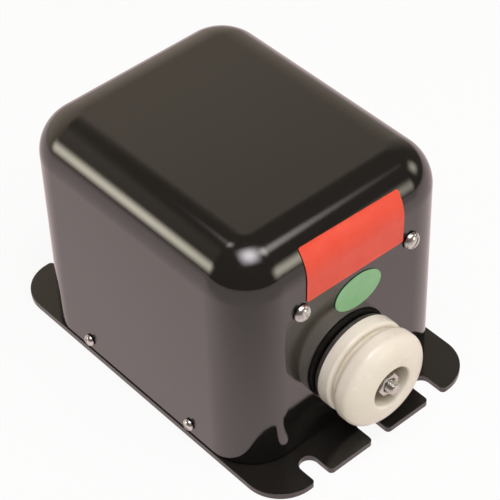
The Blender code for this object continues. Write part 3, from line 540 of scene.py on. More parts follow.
def bushing_profile():
    quarter = math.pi / 2
    lip = MOUTH_RADIUS + MOUTH_LIP
    nose_steps = math.ceil(quarter / ARC_STEP)
    nose = [quarter * (1 - i / nose_steps) for i in range(nose_steps + 1)]
    profile = [(lip + (KNOB_RADIUS - lip) * math.cos(a), KNOB_FRONT - NOSE_DEPTH * (1 - math.sin(a)))
               for a in nose]
    profile += arc_points((KNOB_RADIUS - KNOB_HEEL, KNOB_BACK + KNOB_HEEL), KNOB_HEEL, 0.0, -quarter)
    centre = WAIST_RADIUS + WAIST_FILLET
    profile += arc_points((centre, KNOB_BACK - WAIST_FILLET), WAIST_FILLET, quarter, 2 * quarter)
    profile += arc_points((centre, FLANGE_FRONT + WAIST_FILLET), WAIST_FILLET, 2 * quarter, 3 * quarter)
    rim = FLANGE_RADIUS - FLANGE_EDGE
    profile += arc_points((rim, FLANGE_FRONT - FLANGE_EDGE), FLANGE_EDGE, quarter, 0.0)
    skirt = SKIRT_WALL / 2
    profile += arc_points((FLANGE_RADIUS - skirt, SKIRT_BACK + skirt), skirt, 0.0, -2 * quarter)
    profile += [(FLANGE_RADIUS - SKIRT_WALL, FLANGE_BACK), (NECK_RADIUS, FLANGE_BACK),
                (NECK_RADIUS, GROOVE_FRONT), (GROOVE_RADIUS, GROOVE_FRONT),
                (GROOVE_RADIUS, GROOVE_BACK), (NECK_RADIUS, GROOVE_BACK),
                (NECK_RADIUS, NECK_END + NECK_CHAMFER), (NECK_RADIUS - NECK_CHAMFER, NECK_END),
                (STUD_BORE, NECK_END), (STUD_BORE, SEAT_FRONT)]
    profile += arc_points((SEAT_RADIUS - SEAT_EDGE, SEAT_FRONT - SEAT_EDGE), SEAT_EDGE, quarter, 0.0)
    profile.append((SEAT_RADIUS, RECESS_FLOOR))
    profile += arc_points((RECESS_RADIUS - RECESS_FILLET, RECESS_FLOOR + RECESS_FILLET), RECESS_FILLET,
                          -quarter, 0.0)
    profile += arc_points((lip, KNOB_FRONT - MOUTH_LIP), MOUTH_LIP, 2 * quarter, quarter)[:-1]
    return profile


def make_painted_hollow_shade(tree, place):
    """Painted shade in the hollows: a mask that grows down the mouth and into the waist."""
    level = add_node(tree, "ShaderNodeMapping", Location=(-axis_x, 0.0, -axis_z), Scale=(1.0, 0.0, 1.0))
    radius = add_node(tree, "ShaderNodeVectorMath", operation="LENGTH")
    split = add_node(tree, "ShaderNodeSeparateXYZ")
    tree.links.new(place, level.inputs["Vector"])
    tree.links.new(level.outputs["Vector"], radius.inputs[0])
    tree.links.new(place, split.inputs[0])
    across, along = radius.outputs["Value"], split.outputs["Y"]
    mouth_y, knob_y = face_y - KNOB_FRONT, face_y - KNOB_BACK
    total = add_node(tree, "ShaderNodeMath", operation="ADD")
    for socket, strength, rim, core, start, end in (
            (total.inputs[0], MOUTH_PAINTED_SHADE, MOUTH_RADIUS + PAINTED_SHADE_FADE, MOUTH_RADIUS,
             mouth_y, mouth_y + RECESS_RADIUS),
            (total.inputs[1], WAIST_PAINTED_SHADE, FLANGE_RADIUS - PAINTED_SHADE_FADE, WAIST_RADIUS,
             knob_y - PAINTED_SHADE_FADE, knob_y)):
        inside = add_node(tree, "ShaderNodeMapRange", From_Min=rim, From_Max=core)
        deep = add_node(tree, "ShaderNodeMapRange", From_Min=start, From_Max=end, To_Max=strength)
        both = add_node(tree, "ShaderNodeMath", operation="MULTIPLY")
        tree.links.new(across, inside.inputs["Value"])
        tree.links.new(along, deep.inputs["Value"])
        tree.links.new(inside.outputs["Result"], both.inputs[0])
        tree.links.new(deep.outputs["Result"], both.inputs[1])
        tree.links.new(both.outputs[0], socket)
    return total.outputs[0]


def make_glaze():
    material, tree, shader, place = new_finish("glazed_ivory_porcelain", IOR=1.5)
    clouds = use_group(tree, mottle_group, place, Scale=90.0, Low=0.0, High=1.0)
    body = blend_colours(tree, clouds, GLAZE_IVORY, GLAZE_CREAM)
    cells = add_node(tree, "ShaderNodeTexVoronoi", Scale=420.0)
    tree.links.new(place, cells.inputs["Vector"])
    specks = add_node(tree, "ShaderNodeMapRange", From_Min=0.11, From_Max=0.05, To_Max=0.35)
    tree.links.new(cells.outputs["Distance"], specks.inputs["Value"])
    specked = blend_colours(tree, specks.outputs["Result"], body, GLAZE_SPECK)
    # Painted shade darkens the glaze down the mouth and in the waist.
    colour = blend_colours(tree, make_painted_hollow_shade(tree, place), specked, GLAZE_PAINTED_SHADE)
    gloss = use_group(tree, mottle_group, place, Scale=260.0, Low=0.16, High=0.28)
    tree.links.new(colour, shader.inputs["Base Color"])
    tree.links.new(gloss, shader.inputs["Roughness"])
    add_grain(tree, shader, place, 0.6, Fine_scale=900.0, Fine_depth=0.00001, Slow_scale=160.0,
              Slow_depth=0.00008)
    return material


def make_rubber():
    material, tree, shader, place = mottled_finish("gasket_rubber", RUBBER_BLACK, RUBBER_BLOOM, 420.0,
                                                   150.0, (0.48, 0.66))
    add_grain(tree, shader, place, 0.8, Fine_scale=2600.0, Fine_depth=0.00003, Slow_scale=300.0,
              Slow_depth=0.00006)
    return material


def rounded_ring(inner, outer, back_station, front_station, edge):
    """Closed profile of a ring whose outer edges are rounded."""
    quarter = math.pi / 2
    profile = [(inner, front_station)]
    profile += arc_points((outer - edge, front_station - edge), edge, quarter, 0.0)
    profile += arc_points((outer - edge, back_station + edge), edge, 0.0, -quarter)
    return profile + [(inner, back_station)]


bushing = turn_on("porcelain_bushing", bushing_profile(), out_of_front)
fit(bushing, make_glaze(), "transformer", "porcelain", "hv_bushing")
gasket_profile = rounded_ring(NECK_HOLE, GASKET_RADIUS, GASKET_BACK, GASKET_FRONT, GASKET_EDGE)
gasket = turn_on("bushing_gasket_ring", gasket_profile, out_of_front)
fit(gasket, make_rubber(), "transformer", "gasket_rubber", "bushing_gasket")

# Terminal
# A threaded stud of nickelled brass runs through the bushing.  In the recess sit a flat washer and
# a loose hexagon nut that clamps the user's lead; inside, two nuts and a lug join the winding.
STUD_RADIUS = half_width("terminal_stud")
STUD_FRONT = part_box("terminal_stud")[0].y
STUD_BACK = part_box("terminal_stud")[1].y
THREAD_PITCH = 0.0008
THREAD_DEPTH = 0.00030
THREAD_STEPS = 48
THREAD_ROWS_PER_TURN = 8
STUD_POINT = 0.0005
NUT_BACK, NUT_FRONT = stations("terminal_nut")
NUT_FLATS = 0.0070
NUT_BORE = 0.0023
NUT_CHAMFER_SLOPE = math.tan(math.radians(30.0))
NUT_FACE_SHARE = 0.94
NUT_BORE_CHAMFER = 0.0003
NUT_STEPS = 96
WASHER_BACK, WASHER_FRONT = stations("terminal_washer")
WASHER_RADIUS = half_width("terminal_washer")
WASHER_EDGE = 0.00018
NICKEL_LIGHT = (0.66, 0.655, 0.63)
NICKEL_DARK = (0.50, 0.485, 0.45)
TURNING_PITCH = 0.00025


def make_nickel():
    material, tree, shader, place = mottled_finish("nickelled_brass", NICKEL_DARK, NICKEL_LIGHT, 380.0,
                                                   700.0, (0.20, 0.36), Metallic=1.0)
    centred = add_node(tree, "ShaderNodeMapping", Location=(-axis_x, 0.0, -axis_z))
    tree.links.new(place, centred.inputs["Vector"])
    lathe = add_node(tree, "ShaderNodeTexWave", wave_type="RINGS", rings_direction="Y",
                     Scale=math.pi / (10.0 * TURNING_PITCH), Distortion=0.6)
    tree.links.new(centred.outputs["Vector"], lathe.inputs["Vector"])
    depth = add_node(tree, "ShaderNodeMath", operation="MULTIPLY")
    depth.inputs[1].default_value = TURNING_PITCH / 25
    tree.links.new(lathe.outputs["Fac"], depth.inputs[0])
    relief(tree, shader, depth.outputs[0], 0.6)
    return material


def make_stud():
    """Stud with a real thread: its radius follows a helix, tapered off at both points."""
    length = STUD_BACK - STUD_FRONT
    rows = math.ceil(length / THREAD_PITCH * THREAD_ROWS_PER_TURN)
    work = bmesh.new()
    rings = []
    for row in range(rows + 1):
        y = STUD_FRONT + length * row / rows
        from_end = min(y - STUD_FRONT, STUD_BACK - y)
        crest = STUD_RADIUS - max(0.0, STUD_POINT - from_end)
        ring = []
        for i in range(THREAD_STEPS):
            turn = i / THREAD_STEPS
            phase = (y / THREAD_PITCH + turn) % 1.0
            radius = min(crest, STUD_RADIUS - THREAD_DEPTH * abs(2 * phase - 1))
            angle = 2 * math.pi * turn
            ring.append(work.verts.new((axis_x + radius * math.cos(angle), y,
                                        axis_z + radius * math.sin(angle))))
        rings.append(ring)
    skin(work, rings)
    work.faces.new(rings[0])
    work.faces.new(rings[-1])
    return mesh_from("threaded_stud", work)


def make_nut():
    """Hexagon nut, its corners chamfered on both faces."""
    flat = NUT_FLATS / 2
    face = flat * NUT_FACE_SHARE
    work = bmesh.new()
    columns = []
    for i in range(NUT_STEPS):
        angle = 2 * math.pi * i / NUT_STEPS
        from_flat = (angle + math.pi / 6) % (math.pi / 3) - math.pi / 6
        corner = flat / math.cos(math.pi / 6 - abs(from_flat))
        drop = (corner - face) * NUT_CHAMFER_SLOPE
        column = [(NUT_BORE, NUT_BACK + NUT_BORE_CHAMFER), (NUT_BORE + NUT_BORE_CHAMFER, NUT_BACK),
                  (face, NUT_BACK), (corner, NUT_BACK + drop), (corner, NUT_FRONT - drop),
                  (face, NUT_FRONT), (NUT_BORE + NUT_BORE_CHAMFER, NUT_FRONT),
                  (NUT_BORE, NUT_FRONT - NUT_BORE_CHAMFER)]
        columns.append([work.verts.new(out_of_front(r, angle, s)) for r, s in column])
    skin(work, columns + columns[:1])
    return mesh_from("terminal_hex_nut", work)


nickel = make_nickel()
fit(make_stud(), nickel, "transformer", "nickelled_brass", "terminal_stud")
fit(make_nut(), nickel, "nut", "nickelled_brass", "terminal_nut")
washer_profile = rounded_ring(NUT_BORE, WASHER_RADIUS, WASHER_BACK, WASHER_FRONT, WASHER_EDGE)
washer = turn_on("terminal_flat_washer", washer_profile, out_of_front)
fit(washer, nickel, "washer", "nickelled_brass", "terminal_washer")
dress(nickel, "stud_washer", "stud_nut", "lead_nut", "hv_lug")

# Secondary lead
# Red rubber-covered wire that carries the high voltage, soldered to the lug on the stud and led
# up to the fine winding.
LEAD_RED = (0.60, 0.045, 0.035)
LEAD_DARK = (0.42, 0.030, 0.025)


def make_lead_cover():
    return mottled_finish("lead_rubber", LEAD_DARK, LEAD_RED, 500.0, 300.0, (0.45, 0.62))[0]


dress(make_lead_cover(), "hv_lead")

# Cover
# A can deep-drawn from one sheet of steel, with wide radii along its standing corners and top
# edge, pierced for the bushing, screws and leads, then enamelled black inside and out.
cover_low, cover_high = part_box("cover")
CASE_CORNER_RADIUS = 0.0160
CASE_TOP_RADIUS = 0.0142
CASE_WALL = 0.0012
CASE_RIM_RADIUS = 0.0004
CASE_CORNER_STEPS = 28
CASE_TOP_STEPS = 24
FRONT_SCREW_HOLE = 0.0020
SIDE_SCREW_HOLE = 0.00165
INLET_HOLE = 0.0064
INLET_HEIGHT = seat_of("lead_inlet").z
HOLE_STEPS = 48
COVER_DUST_FILM = 0.004
COVER_GLOSS = (0.06, 0.11)


def case_loop(work, inset, z):
    """One level of the can: a rounded rectangle set in from its widest outline."""
    radius = CASE_CORNER_RADIUS - inset
    x, y = cover_high.x - CASE_CORNER_RADIUS, cover_high.y - CASE_CORNER_RADIUS
    loop = []
    for quarter, (sx, sy) in enumerate(((1, 1), (-1, 1), (-1, -1), (1, -1))):
        for i in range(CASE_CORNER_STEPS + 1):
            angle = math.pi / 2 * (quarter + i / CASE_CORNER_STEPS)
            loop.append(work.verts.new((sx * x + radius * math.cos(angle),
                                        sy * y + radius * math.sin(angle), z)))
    return loop


def case_levels():
    """(inset, height) of each level, from the inside of the top, down, and up to the outside."""
    spring = cover_high.z - CASE_TOP_RADIUS
    quarter = [math.pi / 2 * i / CASE_TOP_STEPS for i in range(CASE_TOP_STEPS + 1)]
    inner_radius = CASE_TOP_RADIUS - CASE_WALL
    inside = [(CASE_TOP_RADIUS - inner_radius * math.cos(a), spring + inner_radius * math.sin(a))
              for a in reversed(quarter)]
    half_wall = CASE_WALL / 2
    rim_centre = cover_low.z + CASE_RIM_RADIUS
    rim = [(CASE_WALL, rim_centre), (CASE_WALL - CASE_RIM_RADIUS, cover_low.z), (half_wall, cover_low.z),
           (CASE_RIM_RADIUS, cover_low.z), (0.0, rim_centre)]
    outside = [(CASE_TOP_RADIUS * (1 - math.cos(a)), spring + CASE_TOP_RADIUS * math.sin(a))
               for a in quarter]
    return inside + rim + outside


def add_drill(work, radius, centre, axis):
    """Add a closed drill cylinder to a cutter mesh."""
    turn = axis.to_track_quat("Z", "Y").to_matrix().to_4x4()
    bmesh.ops.create_cone(work, cap_ends=True, segments=HOLE_STEPS, radius1=radius, radius2=radius,
                          depth=CASE_WALL * 8, matrix=Matrix.Translation(centre) @ turn)


def make_cover():
    work = bmesh.new()
    loops = [case_loop(work, inset, z) for inset, z in case_levels()]
    skin(work, loops)
    work.faces.new(loops[0])
    work.faces.new(loops[-1])
    cover = mesh_from("drawn_cover", work)
    drills = bmesh.new()
    outwards, across = Vector((0.0, 1.0, 0.0)), Vector((1.0, 0.0, 0.0))
    add_drill(drills, NECK_HOLE, Vector((axis_x, cover_low.y, axis_z)), outwards)
    add_drill(drills, INLET_HOLE, Vector((0.0, cover_high.y, INLET_HEIGHT)), outwards)
    for side in SIDES:
        seat = seat_of(f"front_screw_{side}")
        add_drill(drills, FRONT_SCREW_HOLE, Vector((seat.x, cover_low.y, seat.z)), outwards)
        for end in ENDS:
            seat = seat_of(f"cover_screw_{side}_{end}")
            wall_x = math.copysign(cover_high.x, seat.x)
            add_drill(drills, SIDE_SCREW_HOLE, Vector((wall_x, seat.y, seat.z)), across)
    drill_piece = mesh_from("cover_drills", drills)
    pierce = cover.modifiers.new("pierce", "BOOLEAN")
    pierce.operation = "DIFFERENCE"
    pierce.solver = "EXACT"
    pierce.object = drill_piece
    flats = cover.modifiers.new("flats", "WEIGHTED_NORMAL")
    flats.keep_sharp = True
    settle(cover)
    bpy.data.objects.remove(drill_piece, do_unlink=True)
    return cover


cover_enamel = make_enamel("cover_enamel", COVER_DUST_FILM, COVER_GLOSS)
fit(make_cover(), cover_enamel, "transformer", "black_paint", "cover")

# Screws
# Slotted pan-head screws, zinc plated: two in the front hold the clamp plate and bushing, and two
# low on each side hold the cover to its brackets.  All are laid out by one set of geometry nodes.
FRONT_HEAD = {"Head radius": 0.0029, "Head height": 0.0021, "Slot width": 0.0007,
              "Slot depth": 0.0006, "Shank radius": 0.0016, "Shank length": 0.0060}
SIDE_HEAD = {"Head radius": 0.0020, "Head height": 0.00157, "Slot width": 0.0007,
             "Slot depth": 0.0006, "Shank radius": 0.00125, "Shank length": 0.0040}
ZINC_BRIGHT = (0.74, 0.74, 0.73)
ZINC_DULL = (0.58, 0.585, 0.57)
TREE_CUT_SIZE = 0.02


def make_zinc():
    material, tree, shader, place = mottled_finish("bright_zinc_plate", ZINC_DULL, ZINC_BRIGHT, 500.0,
                                                   800.0, (0.18, 0.34), Metallic=1.0)
    add_grain(tree, shader, place, 0.6, Fine_scale=4000.0, Fine_depth=0.000008, Slow_scale=600.0,
              Slow_depth=0.00002)
    return material


def make_screw_tree(material):
    """Geometry nodes that set a slotted screw on every point, turned by its own attribute."""
    tree = bpy.data.node_groups.new("slotted_screws", "GeometryNodeTree")
    tree.interface.new_socket("Seats", in_out="INPUT", socket_type="NodeSocketGeometry")
    for size in FRONT_HEAD:
        tree.interface.new_socket(size, in_out="INPUT", socket_type="NodeSocketFloat")
    tree.interface.new_socket("Screws", in_out="OUTPUT", socket_type="NodeSocketGeometry")
    given, result = tree.nodes.new("NodeGroupInput"), tree.nodes.new("NodeGroupOutput")

    def feed(node, *values):
        """Set or link a node's first inputs, and give its result."""
        for value, socket in zip(values, node.inputs):
            if isinstance(value, float):
                socket.default_value = value
            else:
                tree.links.new(value, socket)
        return node.outputs[0]

    def product(value, factor):
        return feed(add_node(tree, "ShaderNodeMath", operation="MULTIPLY"), value, factor)

    def vector(x=0.0, y=0.0, z=0.0):
        return feed(add_node(tree, "ShaderNodeCombineXYZ"), x, y, z)

    def placed(mesh, move=None, scale=None):
        node = tree.nodes.new("GeometryNodeTransform")
        tree.links.new(mesh, node.inputs["Geometry"])
        for value, label in ((move, "Translation"), (scale, "Scale")):
            if value is not None:
                tree.links.new(value, node.inputs[label])
        return node.outputs[0]

    size = given.outputs
    ball = add_node(tree, "GeometryNodeMeshUVSphere", Segments=48, Rings=24, Radius=1.0)
    head = placed(ball.outputs["Mesh"],
                  scale=vector(size["Head radius"], size["Head radius"], size["Head height"]))
    below = tree.nodes.new("GeometryNodeMeshCube")
    below.inputs["Size"].default_value = (TREE_CUT_SIZE,) * 3
    below = placed(below.outputs["Mesh"], move=vector(z=-TREE_CUT_SIZE / 2))
    slot = tree.nodes.new("GeometryNodeMeshCube")
    tree.links.new(vector(size["Slot width"], TREE_CUT_SIZE, product(size["Slot depth"], 2.0)),
                   slot.inputs["Size"])
    slot = placed(slot.outputs["Mesh"], move=vector(z=size["Head height"]))
    shape = add_node(tree, "GeometryNodeMeshBoolean", operation="DIFFERENCE", solver="EXACT")
    tree.links.new(head, shape.inputs["Mesh 1"])
    tree.links.new(below, shape.inputs["Mesh 2"])
    tree.links.new(slot, shape.inputs["Mesh 2"])
    shank = add_node(tree, "GeometryNodeMeshCylinder", Vertices=32)
    tree.links.new(size["Shank radius"], shank.inputs["Radius"])
    tree.links.new(size["Shank length"], shank.inputs["Depth"])
    half_length = product(size["Shank length"], -0.5)
    shank = placed(shank.outputs["Mesh"], move=vector(z=half_length))
    whole = tree.nodes.new("GeometryNodeJoinGeometry")
    tree.links.new(shape.outputs["Mesh"], whole.inputs[0])
    tree.links.new(shank, whole.inputs[0])
    turn = add_node(tree, "GeometryNodeInputNamedAttribute", data_type="FLOAT_VECTOR", Name="seat_turn")
    rotation = tree.nodes.new("FunctionNodeEulerToRotation")
    tree.links.new(turn.outputs["Attribute"], rotation.inputs[0])
    spread = tree.nodes.new("GeometryNodeInstanceOnPoints")
    tree.links.new(given.outputs["Seats"], spread.inputs["Points"])
    tree.links.new(whole.outputs[0], spread.inputs["Instance"])
    tree.links.new(rotation.outputs[0], spread.inputs["Rotation"])
    real = tree.nodes.new("GeometryNodeRealizeInstances")
    tree.links.new(spread.outputs[0], real.inputs[0])
    finish = add_node(tree, "GeometryNodeSetMaterial", Material=material)
    tree.links.new(real.outputs[0], finish.inputs["Geometry"])
    tree.links.new(finish.outputs[0], result.inputs[0])
    return tree


def set_screws(name, tree, sizes, seats):
    """One mesh of screws from {node: (seat, way out, turn of the slot)}."""
    mesh = bpy.data.meshes.new(name)
    mesh.from_pydata([seat for seat, _, _ in seats.values()], [], [])
    turns = mesh.attributes.new("seat_turn", "FLOAT_VECTOR", "POINT")
    for item, (_, way, turn) in zip(turns.data, seats.values()):
        spin = Matrix.Rotation(turn, 3, "Z")
        item.vector = (way.to_track_quat("Z", "Y").to_matrix() @ spin).to_euler()
    piece = bpy.data.objects.new(name, mesh)
    bpy.context.scene.collection.objects.link(piece)
    layout = piece.modifiers.new("layout", "NODES")
    layout.node_group = tree
    for socket in tree.interface.items_tree:
        if socket.name in sizes:
            layout[socket.identifier] = sizes[socket.name]
    settle(piece)
    piece.data.shade_smooth()
    piece.data.set_sharp_from_angle(angle=SHARP_ANGLE)
    return piece


zinc = make_zinc()
screw_tree = make_screw_tree(zinc)
front_seats, side_seats = {}, {}
SLOT_TURNS = {"front_screw_left": 25.0, "front_screw_right": -40.0, "cover_screw_left_front": 70.0,
              "cover_screw_left_rear": 15.0, "cover_screw_right_front": -20.0,
              "cover_screw_right_rear": 50.0}
for screw_node, slot_turn in SLOT_TURNS.items():
    seat = seat_of(screw_node)
    if screw_node.startswith("front"):
        place = Vector((seat.x, cover_low.y - TOUCH_GAP, seat.z))
        front_seats[screw_node] = (place, Vector((0.0, -1.0, 0.0)), math.radians(slot_turn))
    else:
        side = math.copysign(1.0, seat.x)
        place = Vector((side * (cover_high.x + TOUCH_GAP), seat.y, seat.z))
        side_seats[screw_node] = (place, Vector((side, 0.0, 0.0)), math.radians(slot_turn))
for piece_name, sizes, seats in (("front_screws", FRONT_HEAD, front_seats),
                                 ("cover_screws", SIDE_HEAD, side_seats)):
    fit(set_screws(piece_name, screw_tree, sizes, seats), zinc, "transformer", "zinc_plate", *seats)
dress(zinc, "bushing_clip", *(f"core_bolt_{side}_{end}" for side in SIDES for end in ENDS))
dress(zinc, *(f"core_nut_{side}_{end}" for side in SIDES for end in ENDS))

# Lead inlet
# A snap-in bushing of moulded black nylon, pushed into the rear wall for the primary leads and held
# by the barb behind its neck.
INLET_BORE = 0.0040
INLET_NECK = 0.0060
INLET_FLANGE = 0.0084
INLET_FLANGE_FRONT = 0.0025
INLET_BARB = 0.0068
INLET_BARB_FRONT = -0.0015
INLET_BARB_BACK = -0.0045
INLET_EDGE = 0.0011
INLET_MOUTH = 0.0006
NYLON_BLACK = (0.014, 0.014, 0.015)
NYLON_GREY = (0.026, 0.026, 0.027)


def out_of_rear(radius, angle, station):
    return (radius * math.cos(angle), cover_high.y + station, INLET_HEIGHT + radius * math.sin(angle))


def make_nylon():
    material, tree, shader, place = mottled_finish("black_nylon", NYLON_BLACK, NYLON_GREY, 260.0,
                                                   400.0, (0.34, 0.50))
    add_grain(tree, shader, place, 0.7, Fine_scale=3200.0, Fine_depth=0.00002, Slow_scale=300.0,
              Slow_depth=0.00003)
    return material


def inlet_profile():
    quarter = math.pi / 2
    profile = arc_points((INLET_BORE + INLET_MOUTH, INLET_FLANGE_FRONT - INLET_MOUTH), INLET_MOUTH,
                         2 * quarter, quarter)
    profile += arc_points((INLET_FLANGE - INLET_EDGE, INLET_FLANGE_FRONT - INLET_EDGE), INLET_EDGE,
                          quarter, 0.0)
    profile += [(INLET_FLANGE, TOUCH_GAP), (INLET_NECK, TOUCH_GAP), (INLET_NECK, INLET_BARB_FRONT),
                (INLET_BARB, INLET_BARB_FRONT), (INLET_NECK, INLET_BARB_BACK),
                (INLET_BORE, INLET_BARB_BACK)]
    return profile


inlet = turn_on("lead_inlet_bushing", inlet_profile(), out_of_rear)
fit(inlet, make_nylon(), "transformer", "black_nylon", "lead_inlet")

# Labels
# Two bare stuck-on labels: a red coated-paper strip that wraps over the top front edge a little out
# of square, and a small die-cut green oval below it.
RED_X = 0.0013
RED_WIDTH = 0.0374
RED_LENGTH = 0.0185
RED_DROP = 0.0223
RED_TURN = math.radians(1.5)
RED_CORNER = 0.0006
GREEN_X, _, GREEN_Z = seat_of("green_label")
GREEN_SIZE = (0.0179, 0.0121)
LABEL_BACK = 0.00015
LABEL_FRONT = 0.00034
LABEL_ROWS = 48
LABEL_COLUMNS = 60
OVAL_STEPS = 120
OVAL_RINGS = 12
RED_INK = (0.80, 0.064, 0.030)
RED_FADED = (0.84, 0.088, 0.045)
GREEN_INK = (0.226, 0.512, 0.250)
GREEN_FADED = (0.284, 0.578, 0.310)


def label_point(across, along, lift):
    """Point of a sheet that runs straight up the front face, then round the top edge."""
    spring = cover_high.z - CASE_TOP_RADIUS
    bend = max(0.0, along - spring) / CASE_TOP_RADIUS
    radius = CASE_TOP_RADIUS + lift
    return (across, cover_low.y + CASE_TOP_RADIUS - radius * math.cos(bend),
            min(along, spring) + radius * math.sin(bend))


def make_ink(name, fresh, faded):
    """Printed, lightly varnished paper: slightly uneven ink over a faint fibre."""
    material, tree, shader, place = mottled_finish(name, fresh, faded, 140.0, 320.0, (0.34, 0.46),
                                                   IOR=1.48)
    add_grain(tree, shader, place, 0.6, Fine_scale=2200.0, Fine_depth=0.000012, Slow_scale=110.0,
              Slow_depth=0.00010)
    return material


def make_red_label():
    """Grid sheet with softened corners, bent over the edge and closed as a thin slab."""
    half_across, half_along = RED_WIDTH / 2, RED_LENGTH / 2
    middle = cover_high.z - RED_DROP + half_along
    lean, rise = math.sin(RED_TURN), math.cos(RED_TURN)
    work = bmesh.new()

    def sheet(lift):
        grid = []
        for row in range(LABEL_ROWS + 1):
            v = 2 * row / LABEL_ROWS - 1
            line = []
            for column in range(LABEL_COLUMNS + 1):
                u = 2 * column / LABEL_COLUMNS - 1
                side, height = half_across * u, half_along * v
                corner = (max(0.0, abs(side) - half_across + RED_CORNER),
                          max(0.0, abs(height) - half_along + RED_CORNER))
                excess = math.hypot(*corner) - RED_CORNER
                if min(corner) > 0.0 and excess > 0.0:
                    pull = excess / math.hypot(*corner)
                    side -= math.copysign(corner[0] * pull, side)
                    height -= math.copysign(corner[1] * pull, height)
                across = RED_X + side * rise + height * lean
                along = middle - side * lean + height * rise
                line.append(work.verts.new(label_point(across, along, lift)))
            grid.append(line)
        return grid

    back_grid, front_grid = sheet(LABEL_BACK), sheet(LABEL_FRONT)
    for grid in (back_grid, front_grid):
        for line, following in zip(grid, grid[1:]):
            for i in range(LABEL_COLUMNS):
                work.faces.new((line[i], line[i + 1], following[i + 1], following[i]))
    rims = []
    for grid in (back_grid, front_grid):
        rims.append(grid[0] + [line[-1] for line in grid[1:]] + grid[-1][-2::-1]
                    + [line[0] for line in grid[-2:0:-1]])
    skin(work, rims)
    return mesh_from("red_strip_label", work)


def make_green_label():
    """Die-cut oval in rings, closed as a thin slab."""
    work = bmesh.new()
    faces = []
    for lift in (LABEL_BACK, LABEL_FRONT):
        rings = [[work.verts.new((GREEN_X, cover_low.y - lift, GREEN_Z))]]
        for ring in range(1, OVAL_RINGS + 1):
            share = ring / OVAL_RINGS
            angles = [2 * math.pi * i / OVAL_STEPS for i in range(OVAL_STEPS)]
            rings.append([work.verts.new((GREEN_X + GREEN_SIZE[0] / 2 * share * math.cos(a),
                                          cover_low.y - lift,
                                          GREEN_Z + GREEN_SIZE[1] / 2 * share * math.sin(a)))
                          for a in angles])
        for i in range(OVAL_STEPS):
            j = (i + 1) % OVAL_STEPS
            work.faces.new((rings[0][0], rings[1][i], rings[1][j]))
            for ring, following in zip(rings[1:], rings[2:]):
                work.faces.new((ring[i], ring[j], following[j], following[i]))
        faces.append(rings[-1])
    skin(work, faces)
    return mesh_from("green_oval_label", work)


fit(make_red_label(), make_ink("red_label_ink", RED_INK, RED_FADED), "transformer", "red_label",
    "red_label")
fit(make_green_label(), make_ink("green_label_ink", GREEN_INK, GREEN_FADED), "transformer",
    "green_label", "green_label")

# Floor and light
# A white studio floor under one large soft box overhead and smaller ones around, all with edges that
# fade out as in the bright lines on the case.  The room glows warm and dim behind the object.
FLOOR_SIZE = 6.0
FLOOR_COLOUR = (0.88, 0.875, 0.87)
FLOOR_PALE = (0.90, 0.895, 0.89)
FLOOR_WHITE_SHARE = 0.90
FLOOR_WHITE = (1.0, 1.0, 1.0)
# Painted reflection: the floor as glossy paint sees it, with painted shade far away and towards the
# camera.
FLOOR_MIRRORED = (1.0, 0.82, 0.80)
FLOOR_MIRRORED_DIM = (0.64, 0.53, 0.51)
FLOOR_FAR_FADE = (0.40, 1.00)
FLOOR_CAMERA_FADE = (0.075, 0.125)
ROOM_DIM = (0.130, 0.112, 0.090)
ROOM_GLOW = (0.84, 0.71, 0.57)
ROOM_GLOW_AZIMUTH = math.radians(170.0)
ROOM_GLOW_SIDES = (0.25, 1.0)
ROOM_GLOW_TOP = (0.80, 0.66)
LIGHT_AIM = Vector((0.0, 0.0, 0.06))
COOL_WHITE = (1.0, 0.93, 0.98)
PLAIN_WHITE = (1.0, 0.96, 0.93)
WARM_WHITE = (1.0, 0.93, 0.77)


